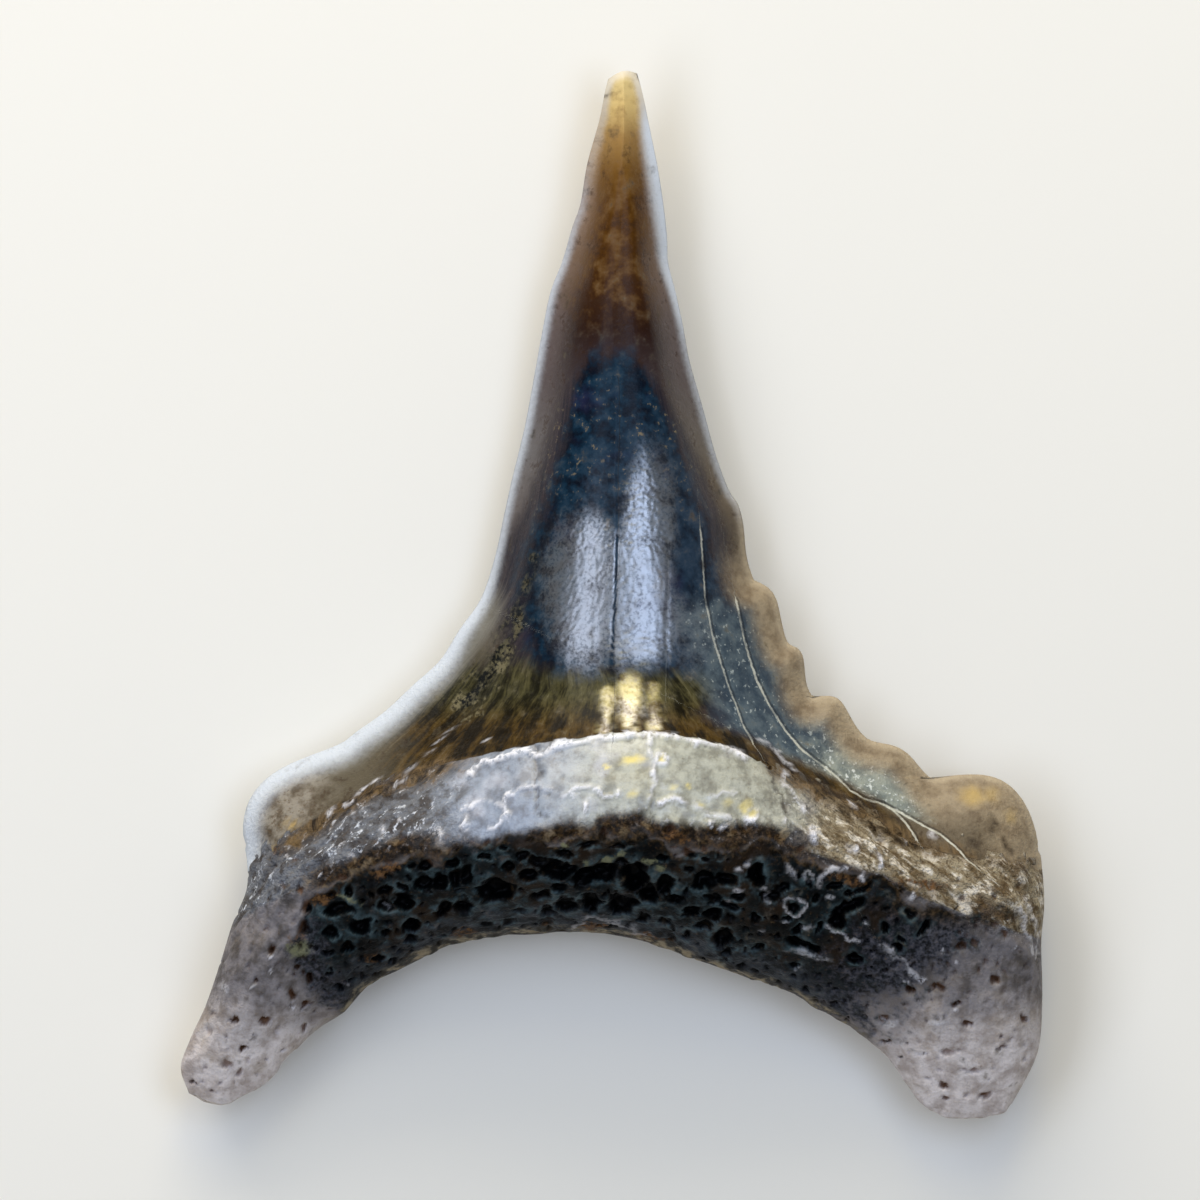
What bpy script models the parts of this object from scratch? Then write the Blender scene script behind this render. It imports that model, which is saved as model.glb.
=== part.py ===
"""A fossil shark tooth, lying on its flatter face, as one closed solid.

X runs across the two root lobes, Y from the lobes to the tip, and Z up from the surface that it
lies on. The origin is under the middle of the tooth's box, on that surface. The tooth is lofted
in rows that run across it: from the arch between the lobes, over the ledge of the root and the
neck line, up to the tip. Every row has a front line and a back line, which meet at its two ends.
"""

import bmesh
import bpy
import numpy as np

MM = 0.001

# Driving dimensions, in millimetres
HEIGHT = 15.0
LEDGE_TOP = 3.3
LEDGE_SPREAD = 3.4
LOBE_TOP = 1.95
NECK_RISE = 0.34
NECK_REACH = 0.5
BLADE_EDGE = 0.3
ROOT_ROUND = 0.8
BACK_RECESS = 0.12
RECESS_FROM = -6.2
RECESS_TO = -5.2
RECESS_BELOW_NECK = 0.03
TIP_LIFT = 0.95
LIFT_FROM = 0.8

# The outline is drawn over a photograph: x to the right and y down, in its pixels
DRAWN_TOP = 70
DRAWN_FOOT = 1117
DRAWN_LEFT = 181
DRAWN_RIGHT = 1044
SCALE = HEIGHT / (DRAWN_FOOT - DRAWN_TOP)
MIDDLE = ((DRAWN_LEFT + DRAWN_RIGHT) / 2, (DRAWN_TOP + DRAWN_FOOT) / 2)

# Rows are numbered from 0 at the arch to 1 at the tip
LEDGE = 0.20
NECK = 0.36
HEEL_FROM = 0.38
CUSPS_FROM = 0.52
CUSPS_TO = 0.71
TIP_FROM = 0.93

# A third number says which row ends at that point
LEFT_SIDE = (
    (189, 1093, 0), (181, 1068), (190, 1040), (206, 1005), (222, 958), (233, 923, LEDGE),
    (247, 888), (247, 860, NECK), (246, 845, HEEL_FROM), (345, 741, CUSPS_FROM),
    (384, 712, 0.57), (413, 685), (440, 660, 0.64), (459, 630), (480, 600), (494, 560, 0.72),
    (504, 515), (511, 483, 0.78), (525, 425), (537, 360, 0.86), (541, 338), (551, 290),
    (562, 262, 0.92), (573, 225), (580, 206), (587, 165, 0.965), (600, 118), (605, 92),
    (608, 80, 1),
)  # fmt: skip
RIGHT_SIDE = (
    (1012, 1103, 0), (1027, 1076), (1038, 1050), (1042, 1000), (1041, 940, LEDGE),
    (1044, 905), (1042, 868, NECK), (1038, 850, HEEL_FROM), (932, 779, CUSPS_FROM),
    (868, 739, 0.57), (813, 697, 0.62), (789, 645, 0.66), (754, 580, CUSPS_TO), (747, 557),
    (743, 522), (738, 504), (730, 492, 0.78), (716, 455),
    (703, 408), (689, 358, 0.86), (683, 325), (674, 285), (668, 262, 0.92), (667, 235),
    (659, 175, 0.965), (650, 130), (642, 92), (637, 74, 1),
)  # fmt: skip
# What stands out from a side, the two heels and then the small cusps: the side, the row that it
# leans to, its other row, its height, lean, sharpness and how far it reaches inwards
LEFT, RIGHT = 0, 1
BULGES = (
    (LEFT, HEEL_FROM, CUSPS_FROM, 27, 0.72, 1.25, 50), (RIGHT, CUSPS_FROM, HEEL_FROM, 35, 1.0, 1.0, 50),
    (RIGHT, 0.57, CUSPS_FROM, 9.5, 0.9, 1.8, 35), (RIGHT, 0.62, 0.57, 16.5, 0.6, 1.8, 35),
    (RIGHT, 0.66, 0.62, 8.5, 0.5, 1.8, 35), (RIGHT, CUSPS_TO, 0.66, 11.5, 0.6, 1.8, 35),
)  # fmt: skip

# Lines across the root. A third number is the share of the way from left to right
ARCH_LINE = (
    (189, 1093, 0), (203, 1102), (225, 1106), (240, 1098), (263, 1083), (290, 1055),
    (320, 1026), (345, 1010), (362, 990), (395, 972), (430, 953), (480, 938), (540, 931),
    (605, 932, 0.5), (660, 945), (720, 969), (780, 988), (820, 1009), (865, 1038),
    (890, 1060), (905, 1084), (922, 1105), (945, 1116), (975, 1117), (1000, 1112),
    (1012, 1103, 1),
)  # fmt: skip
LEDGE_LINE = (
    (233, 923, 0), (270, 902), (310, 885), (350, 868), (400, 852), (450, 843), (520, 832),
    (580, 824), (612, 822, 0.5), (700, 831), (760, 842), (820, 856), (870, 872), (910, 892),
    (960, 912), (1041, 940, 1),
)  # fmt: skip
NECK_LINE = (
    (247, 860, 0), (265, 853), (290, 840), (320, 820), (360, 796), (410, 774), (480, 755),
    (540, 742), (612, 731, 0.5), (650, 731), (700, 738), (750, 755), (790, 775), (850, 803),
    (910, 836), (960, 851), (1010, 862), (1041, 868, 1),
)  # fmt: skip
FOOT_LINE = (
    (345, 741, 0), (400, 722), (470, 703), (540, 689), (612, 682, 0.5), (680, 689), (750, 710),
    (810, 737), (860, 764), (900, 778), (932, 779, 1),
)  # fmt: skip
ROW_BOW = ((CUSPS_FROM, 1), (0.57, 0.93), (0.64, 0.68), (CUSPS_TO, 0.34), (0.78, 0.12),
           (0.86, 0.02), (0.92, 0), (1, 0))  # fmt: skip
TIP_BOW = 5
SIDE_PULL = 5
ROW_STEP = 0.004

# Depths in millimetres: against the row first, then against the height Y along the crown
PARTING = ((0, 1.0), (LEDGE, 1.05), (NECK, 0.95), (0.46, 0.86), (0.64, 0.8), (0.86, 0.84),
           (1, 1.12))  # fmt: skip
CORE_WIDTH = ((-8, 3.2), (-2.6, 3.0), (-1.2, 2.35), (-0.1, 1.95), (1.3, 1.6), (2.8, 1.22),
              (4.2, 0.9), (5.6, 0.6), (6.8, 0.36), (7.6, 0.2))  # fmt: skip
CORE_RISE = ((-8, 1.2), (-2.6, 1.2), (-0.1, 1.08), (1.3, 0.98), (2.8, 0.8), (4.2, 0.6),
             (5.6, 0.4), (6.8, 0.2), (7.6, 0.08))  # fmt: skip
BLADE_RISE = ((-8, 0.46), (-1, 0.45), (1.3, 0.36), (4.2, 0.26), (5.6, 0.2), (6.8, 0.12),
              (7.6, 0.05))  # fmt: skip
BACK_WIDTH = ((-8, 0.8), (-2, 1.0), (1.3, 1.4), (2.8, 1.15), (4.2, 0.85), (5.6, 0.55),
              (6.8, 0.3), (7.6, 0.12))  # fmt: skip
LOBE_TAPER = ((-7.6, 0.5), (-6.4, 0.8), (-5, 1), (0, 1), (8, 1))
CORE_AT = 0.13

# How round or sharp each form is: the powers that its height rises or falls with
CORE_FLAT = 2.5
CORE_ROUND = 1.4
FACE_CURL = 1.8
FACE_LIFT = 0.7
BAND_FALL = 1.7
BACK_CURL = 0.45
LIFT_CURL = 1.7
# How far in from the edge the core and the rise to the neck reach their full height
CORE_FADE = 0.5
RISE_FADE = 0.6

# The larger pores of the root: x, y, half width, half height, depth in millimetres, and turn.
# Each has a floor, and its lip ends a little outside its outline
PORE_FLOOR = 0.25
PORE_LIP = 1.15
PORES = (
    (497, 888, 17, 13, 0.30, 0), (433, 880, 18, 10, 0.22, 0), (466, 869, 13, 10, 0.20, 0),
    (455, 905, 19, 9, 0.20, 0), (412, 922, 11, 10, 0.18, 0), (384, 889, 12, 10, 0.20, 0),
    (403, 900, 12, 9, 0.18, 0), (530, 868, 12, 10, 0.18, 0), (567, 864, 22, 14, 0.24, 0),
    (541, 893, 13, 8, 0.16, 0), (568, 903, 11, 10, 0.18, 0), (592, 899, 12, 9, 0.18, 0),
    (622, 902, 17, 12, 0.28, 0), (637, 869, 21, 14, 0.32, 0), (602, 866, 14, 10, 0.20, 0),
    (690, 907, 12, 10, 0.20, 0), (712, 911, 10, 9, 0.16, 0), (720, 936, 13, 9, 0.20, 0),
    (680, 885, 16, 10, 0.18, 0), (716, 873, 22, 9, 0.22, 0), (750, 872, 17, 13, 0.24, 0),
    (757, 947, 9, 8, 0.14, 0), (845, 911, 26, 10, 0.26, -25), (801, 945, 22, 7, 0.16, 20),
    (855, 955, 11, 8, 0.14, 25), (370, 955, 16, 8, 0.16, -5), (329, 905, 14, 12, 0.12, 0),
    (309, 977, 10, 9, 0.10, 0), (274, 946, 10, 9, 0.10, 0), (935, 985, 14, 7, 0.10, -30),
    (965, 1052, 12, 8, 0.08, 30), (595, 924, 20, 9, 0.22, 0),
)  # fmt: skip

# How many rows, and how many steps from left to right in each part of a row
FACE_ROWS = 14
BAND_ROWS = 5
HEEL_ROWS = 6
CUSP_ROWS = 20
CROWN_ROWS = 10
TIP_ROWS = 4
ROOT_STEPS = (108, 36)
CROWN_STEPS = (36, 18)
TIP_STEPS = 6
FINER_AT_ENDS = 0.3
FACE_BUNCHING = 1.25
SIDE_SAMPLES = 400


def on_tooth(pixels):
    """Pixels of the drawing as millimetres on the tooth, X to the right and Y up."""
    pixels = np.asarray(pixels, float)
    return (pixels - MIDDLE) * (SCALE, -SCALE)


def smooth_line(points, per_span=12):
    """A dense curve through the points, and the place of each point on it."""
    points = np.asarray(points, float)
    knots = np.append(0, np.cumsum(np.linalg.norm(np.diff(points, axis=0), axis=1) ** 0.5))
    slopes = np.gradient(points, knots, axis=0)
    span = np.diff(knots)[:, None, None]
    t = np.linspace(0, 1, per_span, endpoint=False)[None, :, None]
    start, end = points[:-1, None], points[1:, None]
    curve = (
        (1 + 2 * t) * (1 - t) ** 2 * start
        + t * (1 - t) ** 2 * span * slopes[:-1, None]
        + t**2 * (3 - 2 * t) * end
        + t**2 * (t - 1) * span * slopes[1:, None]
    )
    curve = np.concatenate([curve.reshape(-1, 2), points[-1:]])
    return curve, np.arange(len(points)) * per_span


def marked_line(points):
    """A function from a marked number to the place on the smooth line through the points."""
    curve, at_point = smooth_line([point[:2] for point in points])
    length = np.append(0, np.cumsum(np.linalg.norm(np.diff(curve, axis=0), axis=1)))
    marks = [(point[2], length[at]) for point, at in zip(points, at_point) if len(point) > 2]

    def place(number):
        along = np.interp(number, *zip(*marks))
        return np.stack([np.interp(along, length, curve[:, axis]) for axis in (0, 1)], -1)

    return place


def graph(pairs):
    """A smooth function through the pairs."""
    curve, _ = smooth_line(pairs)
    return lambda value: np.interp(value, curve[:, 0], curve[:, 1])


def ramp(value, low, high):
    t = np.clip((value - low) / (high - low), 0, 1)
    return t * t * (3 - 2 * t)


def plan():
    """The two sides of the tooth and the four lines across it, as functions."""
    lines = (LEFT_SIDE, RIGHT_SIDE, ARCH_LINE, LEDGE_LINE, NECK_LINE, FOOT_LINE)
    return [marked_line(line) for line in lines]


def bulges(row, sides, across):
    """How far the heels and cusps push a row out from the two sides, in pixels."""
    push = np.zeros((len(across), 2))
    wide = np.linalg.norm(sides[RIGHT](row) - sides[LEFT](row))
    for side, start, end, height, lean, sharpness, reach in BULGES:
        share = (row - start) / (end - start)
        if not 0 < share < 1:
            continue
        along = sides[side](row + ROW_STEP) - sides[side](row - ROW_STEP)
        outward = np.array([-along[1], along[0]]) / np.linalg.norm(along)
        out = height * np.sin(np.pi * share**lean) ** sharpness * (1 if side == RIGHT else -1)
        from_edge = wide * (1 - across if side == RIGHT else across)
        push += (out * np.exp(-((from_edge / reach) ** 1.5)))[:, None] * outward
    return push


def place_row(lines, row, across):
    """The plan of one row at the shares across it, in pixels."""
    left, right = lines[:2]
    guides = list(zip((0, LEDGE, NECK, CUSPS_FROM), lines[2:]))
    share = across[:, None]
    if row < CUSPS_FROM:
        step = max(number for number in range(3) if guides[number][0] <= row)
        (low, lower), (high, upper) = guides[step : step + 2]
        up = (row - low) / (high - low)
        line = lower(across) * (1 - up) + upper(across) * up
        near, far = (1 - share) ** SIDE_PULL, share**SIDE_PULL
    else:
        near, far = 1 - share, share
        level = left(CUSPS_FROM) + (right(CUSPS_FROM) - left(CUSPS_FROM)) * share
        line = (lines[-1](across) - level) * graph(ROW_BOW)(row)
        line[:, 1] -= TIP_BOW * np.sin(np.pi * across) * ramp(row, TIP_FROM, 1)
    line = line + (left(row) - line[0]) * near + (right(row) - line[-1]) * far
    return line + bulges(row, (left, right), across)


def outline_sides(lines):
    """The left and the right side of the outline, with the heels and cusps on them."""
    ends = np.array([0.0, 1.0])
    rows = [place_row(lines, row, ends) for row in np.linspace(0, 1, SIDE_SAMPLES)]
    return np.swapaxes(on_tooth(rows), 0, 1)


def gap_to(line, points):
    """How far each point is from a line, both in plan."""
    start, step = line[:-1], np.diff(line, axis=0)
    to_points = points[:, None] - start
    share = np.clip((to_points * step).sum(-1) / (step * step).sum(-1), 0, 1)
    return np.linalg.norm(to_points - share[..., None] * step, axis=-1).min(1)


def crown_front(place, gap, parting, above_neck):
    """The height of the front of the crown: a sharp blade, a round core and the rise to the neck."""
    x, y = place.T
    blade = graph(BLADE_RISE)(y) * (1 - np.exp(-gap / BLADE_EDGE))
    from_core = np.clip(np.abs(x - CORE_AT) / graph(CORE_WIDTH)(y), 0, 1)
    core = graph(CORE_RISE)(y) * (1 - from_core**CORE_FLAT) ** CORE_ROUND * ramp(gap, 0, CORE_FADE)
    rise = NECK_RISE * np.exp(-above_neck / NECK_REACH) * ramp(gap, 0, RISE_FADE)
    return parting + blade + core + rise


def front_heights(row, place, neck_place, gap, neck_gap):
    """The height of the front of one row above the surface the tooth lies on."""
    parting = graph(PARTING)(row)
    if row >= NECK:
        above = np.linalg.norm(place - neck_place, axis=1)
        return crown_front(place, gap, parting, above)
    round_side = np.sqrt(1 - (1 - np.clip(gap / ROOT_ROUND, 0, 1)) ** 2)
    ledge_top = LOBE_TOP + (LEDGE_TOP - LOBE_TOP) * np.exp(-((place[:, 0] / LEDGE_SPREAD) ** 2))
    ledge_rise = (ledge_top - parting) * graph(LOBE_TAPER)(place[:, 1])
    if row <= LEDGE:
        climb = (1 - (1 - row / LEDGE) ** FACE_CURL) ** FACE_LIFT
        return parting + ledge_rise * climb * round_side
    fall = ((row - LEDGE) / (NECK - LEDGE)) ** BAND_FALL
    neck_parting = graph(PARTING)(NECK)
    neck_rise = crown_front(neck_place, neck_gap, neck_parting, 0) - neck_parting
    return parting + ledge_rise * round_side * (1 - fall) + neck_rise * fall


def back_heights(row, place, gap):
    """The height of the back of one row. Its middle is flat, where the tooth rests."""
    parting = graph(PARTING)(row)
    x, y = place.T
    inward = np.clip(gap / graph(BACK_WIDTH)(y), 0, 1)
    round_share = 1 - ramp(row, NECK, CUSPS_FROM)
    fall = (1 - (1 - inward) ** 2) ** (1 - BACK_CURL * round_share)
    recess = BACK_RECESS * ramp(NECK - row, 0, RECESS_BELOW_NECK) * ramp(y, RECESS_FROM, RECESS_TO)
    lift = np.clip((y - LIFT_FROM) / (HEIGHT / 2 - LIFT_FROM), 0, 1) ** LIFT_CURL
    floor = TIP_LIFT * lift + recess
    return parting - fall * (parting - floor)


def rows_of_tooth():
    """Every row's number, with the steps across its front and its back."""
    face = [LEDGE * (step / FACE_ROWS) ** FACE_BUNCHING for step in range(1, FACE_ROWS + 1)]
    band = list(np.linspace(LEDGE, NECK, BAND_ROWS + 1)[1:])
    heel = list(np.linspace(NECK, CUSPS_FROM, HEEL_ROWS + 1)[1:])
    cusp = list(np.linspace(CUSPS_FROM, CUSPS_TO, CUSP_ROWS + 1)[1:])
    crown = list(np.linspace(CUSPS_TO, TIP_FROM, CROWN_ROWS + 1)[1:])
    tip = list(np.linspace(TIP_FROM, 1, TIP_ROWS + 1)[1:-1])
    rows = [(0, ROOT_STEPS[0], ROOT_STEPS[0])]
    rows += [(row, *ROOT_STEPS) for row in face + band]
    rows += [(row, *CROWN_STEPS) for row in heel + cusp + crown]
    rows += [(row, 2 * TIP_STEPS, TIP_STEPS) for row in tip]
    return rows + [(1, TIP_STEPS, TIP_STEPS)]


def steps_across(count):
    step = np.linspace(0, 1, count + 1)
    return step - FINER_AT_ENDS * np.sin(2 * np.pi * step) / (2 * np.pi)


def press_pores(places):
    """How deep the pores reach at each place on the front, in millimetres."""
    depth = np.zeros(len(places))
    for x, y, wide, high, deep, turn in PORES:
        offset = places - on_tooth((x, y))
        angle = np.radians(-turn)
        along = offset[:, 0] * np.cos(angle) + offset[:, 1] * np.sin(angle)
        up = offset[:, 1] * np.cos(angle) - offset[:, 0] * np.sin(angle)
        reach = np.hypot(along / (wide * SCALE), up / (high * SCALE))
        depth = np.maximum(depth, deep * (1 - ramp(reach, PORE_FLOOR, PORE_LIP)))
    return depth


def bridge(build, lower, upper, facing_up):
    """Faces between two rows, where one may have a whole number of times the other's steps."""
    ratio_low = max(1, (len(lower) - 1) // (len(upper) - 1))
    ratio_up = max(1, (len(upper) - 1) // (len(lower) - 1))
    for step in range((len(lower) - 1) // ratio_low):
        below = lower[step * ratio_low : (step + 1) * ratio_low + 1]
        above = upper[step * ratio_up : (step + 1) * ratio_up + 1]
        ring = below + above[::-1]
        build.faces.new(ring if facing_up else ring[::-1])


def loft_tooth():
    """The closed tooth, as a mesh in metres."""
    lines = plan()
    sides = outline_sides(lines)
    arch = on_tooth(lines[2](np.linspace(0, 1, SIDE_SAMPLES)))
    build = bmesh.new()
    previous = None
    pored = []
    for row, front_steps, back_steps in rows_of_tooth():
        front = steps_across(front_steps)
        back = steps_across(back_steps)
        place = on_tooth(place_row(lines, row, front))
        neck = on_tooth(place_row(lines, NECK, front))
        gap = np.minimum(gap_to(sides[0], place), gap_to(sides[1], place))
        neck_gap = np.minimum(gap_to(sides[0], neck), gap_to(sides[1], neck))
        height = front_heights(row, place, neck, gap, neck_gap)
        front_verts = [build.verts.new((*spot, z)) for spot, z in zip(place, height)]
        if row in (0, 1):
            back_verts = front_verts
        else:
            place = on_tooth(place_row(lines, row, back))[1:-1]
            gap = np.minimum(gap_to(sides[0], place), gap_to(sides[1], place))
            gap = np.minimum(gap, gap_to(arch, place))
            height = back_heights(row, place, gap)
            inner = [build.verts.new((*spot, z)) for spot, z in zip(place, height)]
            back_verts = [front_verts[0], *inner, front_verts[-1]]
        if 0 < row < NECK:
            pored += front_verts[1:-1]
        if previous:
            bridge(build, previous[0], front_verts, True)
            bridge(build, previous[1], back_verts, False)
        previous = (front_verts, back_verts)
    build.normal_update()
    depth = press_pores(np.array([vert.co[:2] for vert in pored]))
    moves = [vert.normal * float(deep) for vert, deep in zip(pored, depth)]
    for vert, move in zip(pored, moves):
        vert.co -= move
    bmesh.ops.scale(build, vec=(MM, MM, MM), verts=build.verts)
    bmesh.ops.recalc_face_normals(build, faces=build.faces)
    mesh = bpy.data.meshes.new("shark_tooth")
    build.to_mesh(mesh)
    build.free()
    return mesh


def fossil_enamel():
    material = bpy.data.materials.new("fossil_enamel")
    material.use_nodes = True
    shader = material.node_tree.nodes["Principled BSDF"]
    shader.inputs["Base Color"].default_value = (0.09, 0.075, 0.08, 1)
    shader.inputs["Roughness"].default_value = 0.35
    shader.inputs["Metallic"].default_value = 0
    return material


def main():
    for obj in list(bpy.data.objects):
        bpy.data.objects.remove(obj)
    collection = bpy.data.collections.new("fossil_shark_tooth")
    bpy.context.scene.collection.children.link(collection)
    mesh = loft_tooth()
    mesh.materials.append(fossil_enamel())
    mesh.shade_smooth()
    collection.objects.link(bpy.data.objects.new("shark_tooth", mesh))


main()
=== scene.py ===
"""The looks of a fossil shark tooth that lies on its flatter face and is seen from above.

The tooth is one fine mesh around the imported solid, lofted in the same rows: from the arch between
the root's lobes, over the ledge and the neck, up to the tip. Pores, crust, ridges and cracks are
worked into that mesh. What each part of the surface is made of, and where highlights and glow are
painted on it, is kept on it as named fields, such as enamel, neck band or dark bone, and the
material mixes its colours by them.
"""

import bpy
import numpy as np
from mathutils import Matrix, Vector, kdtree


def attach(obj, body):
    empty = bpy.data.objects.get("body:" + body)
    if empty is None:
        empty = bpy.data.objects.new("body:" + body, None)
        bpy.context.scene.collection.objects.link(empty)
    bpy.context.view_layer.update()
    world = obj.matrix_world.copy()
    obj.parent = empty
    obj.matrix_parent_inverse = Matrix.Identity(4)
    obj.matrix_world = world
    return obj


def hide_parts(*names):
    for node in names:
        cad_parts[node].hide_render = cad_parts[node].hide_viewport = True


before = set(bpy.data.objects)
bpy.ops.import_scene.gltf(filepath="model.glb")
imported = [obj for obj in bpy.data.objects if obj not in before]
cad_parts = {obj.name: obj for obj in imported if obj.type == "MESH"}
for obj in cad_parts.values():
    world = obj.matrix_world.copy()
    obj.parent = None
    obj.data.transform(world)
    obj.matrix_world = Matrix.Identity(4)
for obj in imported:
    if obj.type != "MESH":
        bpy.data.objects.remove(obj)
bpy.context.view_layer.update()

MM = 0.001

# Driving dimensions, in millimetres, as in the solid
HEIGHT = 15.0
LEDGE_TOP = 3.3
LEDGE_SPREAD = 3.4
LOBE_TOP = 1.95
NECK_RISE = 0.34
NECK_REACH = 0.5
BLADE_EDGE = 0.3
ROOT_ROUND = 0.8
BACK_RECESS = 0.12
RECESS_FROM = -6.2
RECESS_TO = -5.2
RECESS_BELOW_NECK = 0.03
TIP_LIFT = 0.95
LIFT_FROM = 0.8

# The tooth is drawn over the photograph: x to the right and y down, in its pixels
DRAWN_TOP = 70
DRAWN_FOOT = 1117
DRAWN_LEFT = 181
DRAWN_RIGHT = 1044
SCALE = HEIGHT / (DRAWN_FOOT - DRAWN_TOP)
MIDDLE = ((DRAWN_LEFT + DRAWN_RIGHT) / 2, (DRAWN_TOP + DRAWN_FOOT) / 2)

# Rows are numbered from 0 at the arch to 1 at the tip
LEDGE = 0.20
NECK = 0.36
HEEL_FROM = 0.38
CUSPS_FROM = 0.52
CUSPS_TO = 0.71
TIP_FROM = 0.93

# A third number says which row ends at that point
LEFT_SIDE = (
    (189, 1093, 0), (181, 1068), (190, 1040), (206, 1005), (222, 958), (233, 923, LEDGE),
    (247, 888), (247, 860, NECK), (246, 845, HEEL_FROM), (345, 741, CUSPS_FROM),
    (384, 712, 0.57), (413, 685), (440, 660, 0.64), (459, 630), (480, 600), (494, 560, 0.72),
    (504, 515), (511, 483, 0.78), (525, 425), (537, 360, 0.86), (541, 338), (551, 290),
    (562, 262, 0.92), (573, 225), (580, 206), (587, 165, 0.965), (600, 118), (605, 92),
    (608, 80, 1),
)  # fmt: skip
RIGHT_SIDE = (
    (1012, 1103, 0), (1027, 1076), (1038, 1050), (1042, 1000), (1041, 940, LEDGE),
    (1044, 905), (1042, 868, NECK), (1038, 850, HEEL_FROM), (932, 779, CUSPS_FROM),
    (868, 739, 0.57), (813, 697, 0.62), (789, 645, 0.66), (754, 580, CUSPS_TO), (747, 557),
    (743, 522), (738, 504), (730, 492, 0.78), (716, 455),
    (703, 408), (689, 358, 0.86), (683, 325), (674, 285), (668, 262, 0.92), (667, 235),
    (659, 175, 0.965), (650, 130), (642, 92), (637, 74, 1),
)  # fmt: skip
# What stands out from a side, the two heels and then the small cusps: the side, the row that it
# leans to, its other row, its height, lean, sharpness and how far it reaches inwards
LEFT, RIGHT = 0, 1
BULGES = (
    (LEFT, HEEL_FROM, CUSPS_FROM, 27, 0.72, 1.25, 50), (RIGHT, CUSPS_FROM, HEEL_FROM, 35, 1.0, 1.0, 50),
    (RIGHT, 0.57, CUSPS_FROM, 9.5, 0.9, 1.8, 35), (RIGHT, 0.62, 0.57, 16.5, 0.6, 1.8, 35),
    (RIGHT, 0.66, 0.62, 8.5, 0.5, 1.8, 35), (RIGHT, CUSPS_TO, 0.66, 11.5, 0.6, 1.8, 35),
)  # fmt: skip

# Lines across the root. A third number is the share of the way from left to right
ARCH_LINE = (
    (189, 1093, 0), (203, 1102), (225, 1106), (240, 1098), (263, 1083), (290, 1055),
    (320, 1026), (345, 1010), (362, 990), (395, 972), (430, 953), (480, 938), (540, 931),
    (605, 932, 0.5), (660, 945), (720, 969), (780, 988), (820, 1009), (865, 1038),
    (890, 1060), (905, 1084), (922, 1105), (945, 1116), (975, 1117), (1000, 1112),
    (1012, 1103, 1),
)  # fmt: skip
LEDGE_LINE = (
    (233, 923, 0), (270, 902), (310, 885), (350, 868), (400, 852), (450, 843), (520, 832),
    (580, 824), (612, 822, 0.5), (700, 831), (760, 842), (820, 856), (870, 872), (910, 892),
    (960, 912), (1041, 940, 1),
)  # fmt: skip
NECK_LINE = (
    (247, 860, 0), (265, 853), (290, 840), (320, 820), (360, 796), (410, 774), (480, 755),
    (540, 742), (612, 731, 0.5), (650, 731), (700, 738), (750, 755), (790, 775), (850, 803),
    (910, 836), (960, 851), (1010, 862), (1041, 868, 1),
)  # fmt: skip
FOOT_LINE = (
    (345, 741, 0), (400, 722), (470, 703), (540, 689), (612, 682, 0.5), (680, 689), (750, 710),
    (810, 737), (860, 764), (900, 778), (932, 779, 1),
)  # fmt: skip
ROW_BOW = ((CUSPS_FROM, 1), (0.57, 0.93), (0.64, 0.68), (CUSPS_TO, 0.34), (0.78, 0.12),
           (0.86, 0.02), (0.92, 0), (1, 0))  # fmt: skip
TIP_BOW = 5
SIDE_PULL = 5
ROW_STEP = 0.004

# Depths in millimetres: against the row first, then against the height Y along the crown
PARTING = ((0, 1.0), (LEDGE, 1.05), (NECK, 0.95), (0.46, 0.86), (0.64, 0.8), (0.86, 0.84),
           (1, 1.12))  # fmt: skip
CORE_WIDTH = ((-8, 3.2), (-2.6, 3.0), (-1.2, 2.35), (-0.1, 1.95), (1.3, 1.6), (2.8, 1.22),
              (4.2, 0.9), (5.6, 0.6), (6.8, 0.36), (7.6, 0.2))  # fmt: skip
CORE_RISE = ((-8, 1.2), (-2.6, 1.2), (-0.1, 1.08), (1.3, 0.98), (2.8, 0.8), (4.2, 0.6),
             (5.6, 0.4), (6.8, 0.2), (7.6, 0.08))  # fmt: skip
BLADE_RISE = ((-8, 0.46), (-1, 0.45), (1.3, 0.36), (4.2, 0.26), (5.6, 0.2), (6.8, 0.12),
              (7.6, 0.05))  # fmt: skip
BACK_WIDTH = ((-8, 0.8), (-2, 1.0), (1.3, 1.4), (2.8, 1.15), (4.2, 0.85), (5.6, 0.55),
              (6.8, 0.3), (7.6, 0.12))  # fmt: skip
LOBE_TAPER = ((-7.6, 0.5), (-6.4, 0.8), (-5, 1), (0, 1), (8, 1))
CORE_AT = 0.13

# How round or sharp each form is: the powers that its height rises or falls with
CORE_FLAT = 2.5
CORE_ROUND = 1.4
FACE_CURL = 1.8
FACE_LIFT = 0.7
BAND_FALL = 1.7
BACK_CURL = 0.45
LIFT_CURL = 1.7
# How far in from the edge the core and the rise to the neck reach their full height
CORE_FADE = 0.5
RISE_FADE = 0.6

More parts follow.
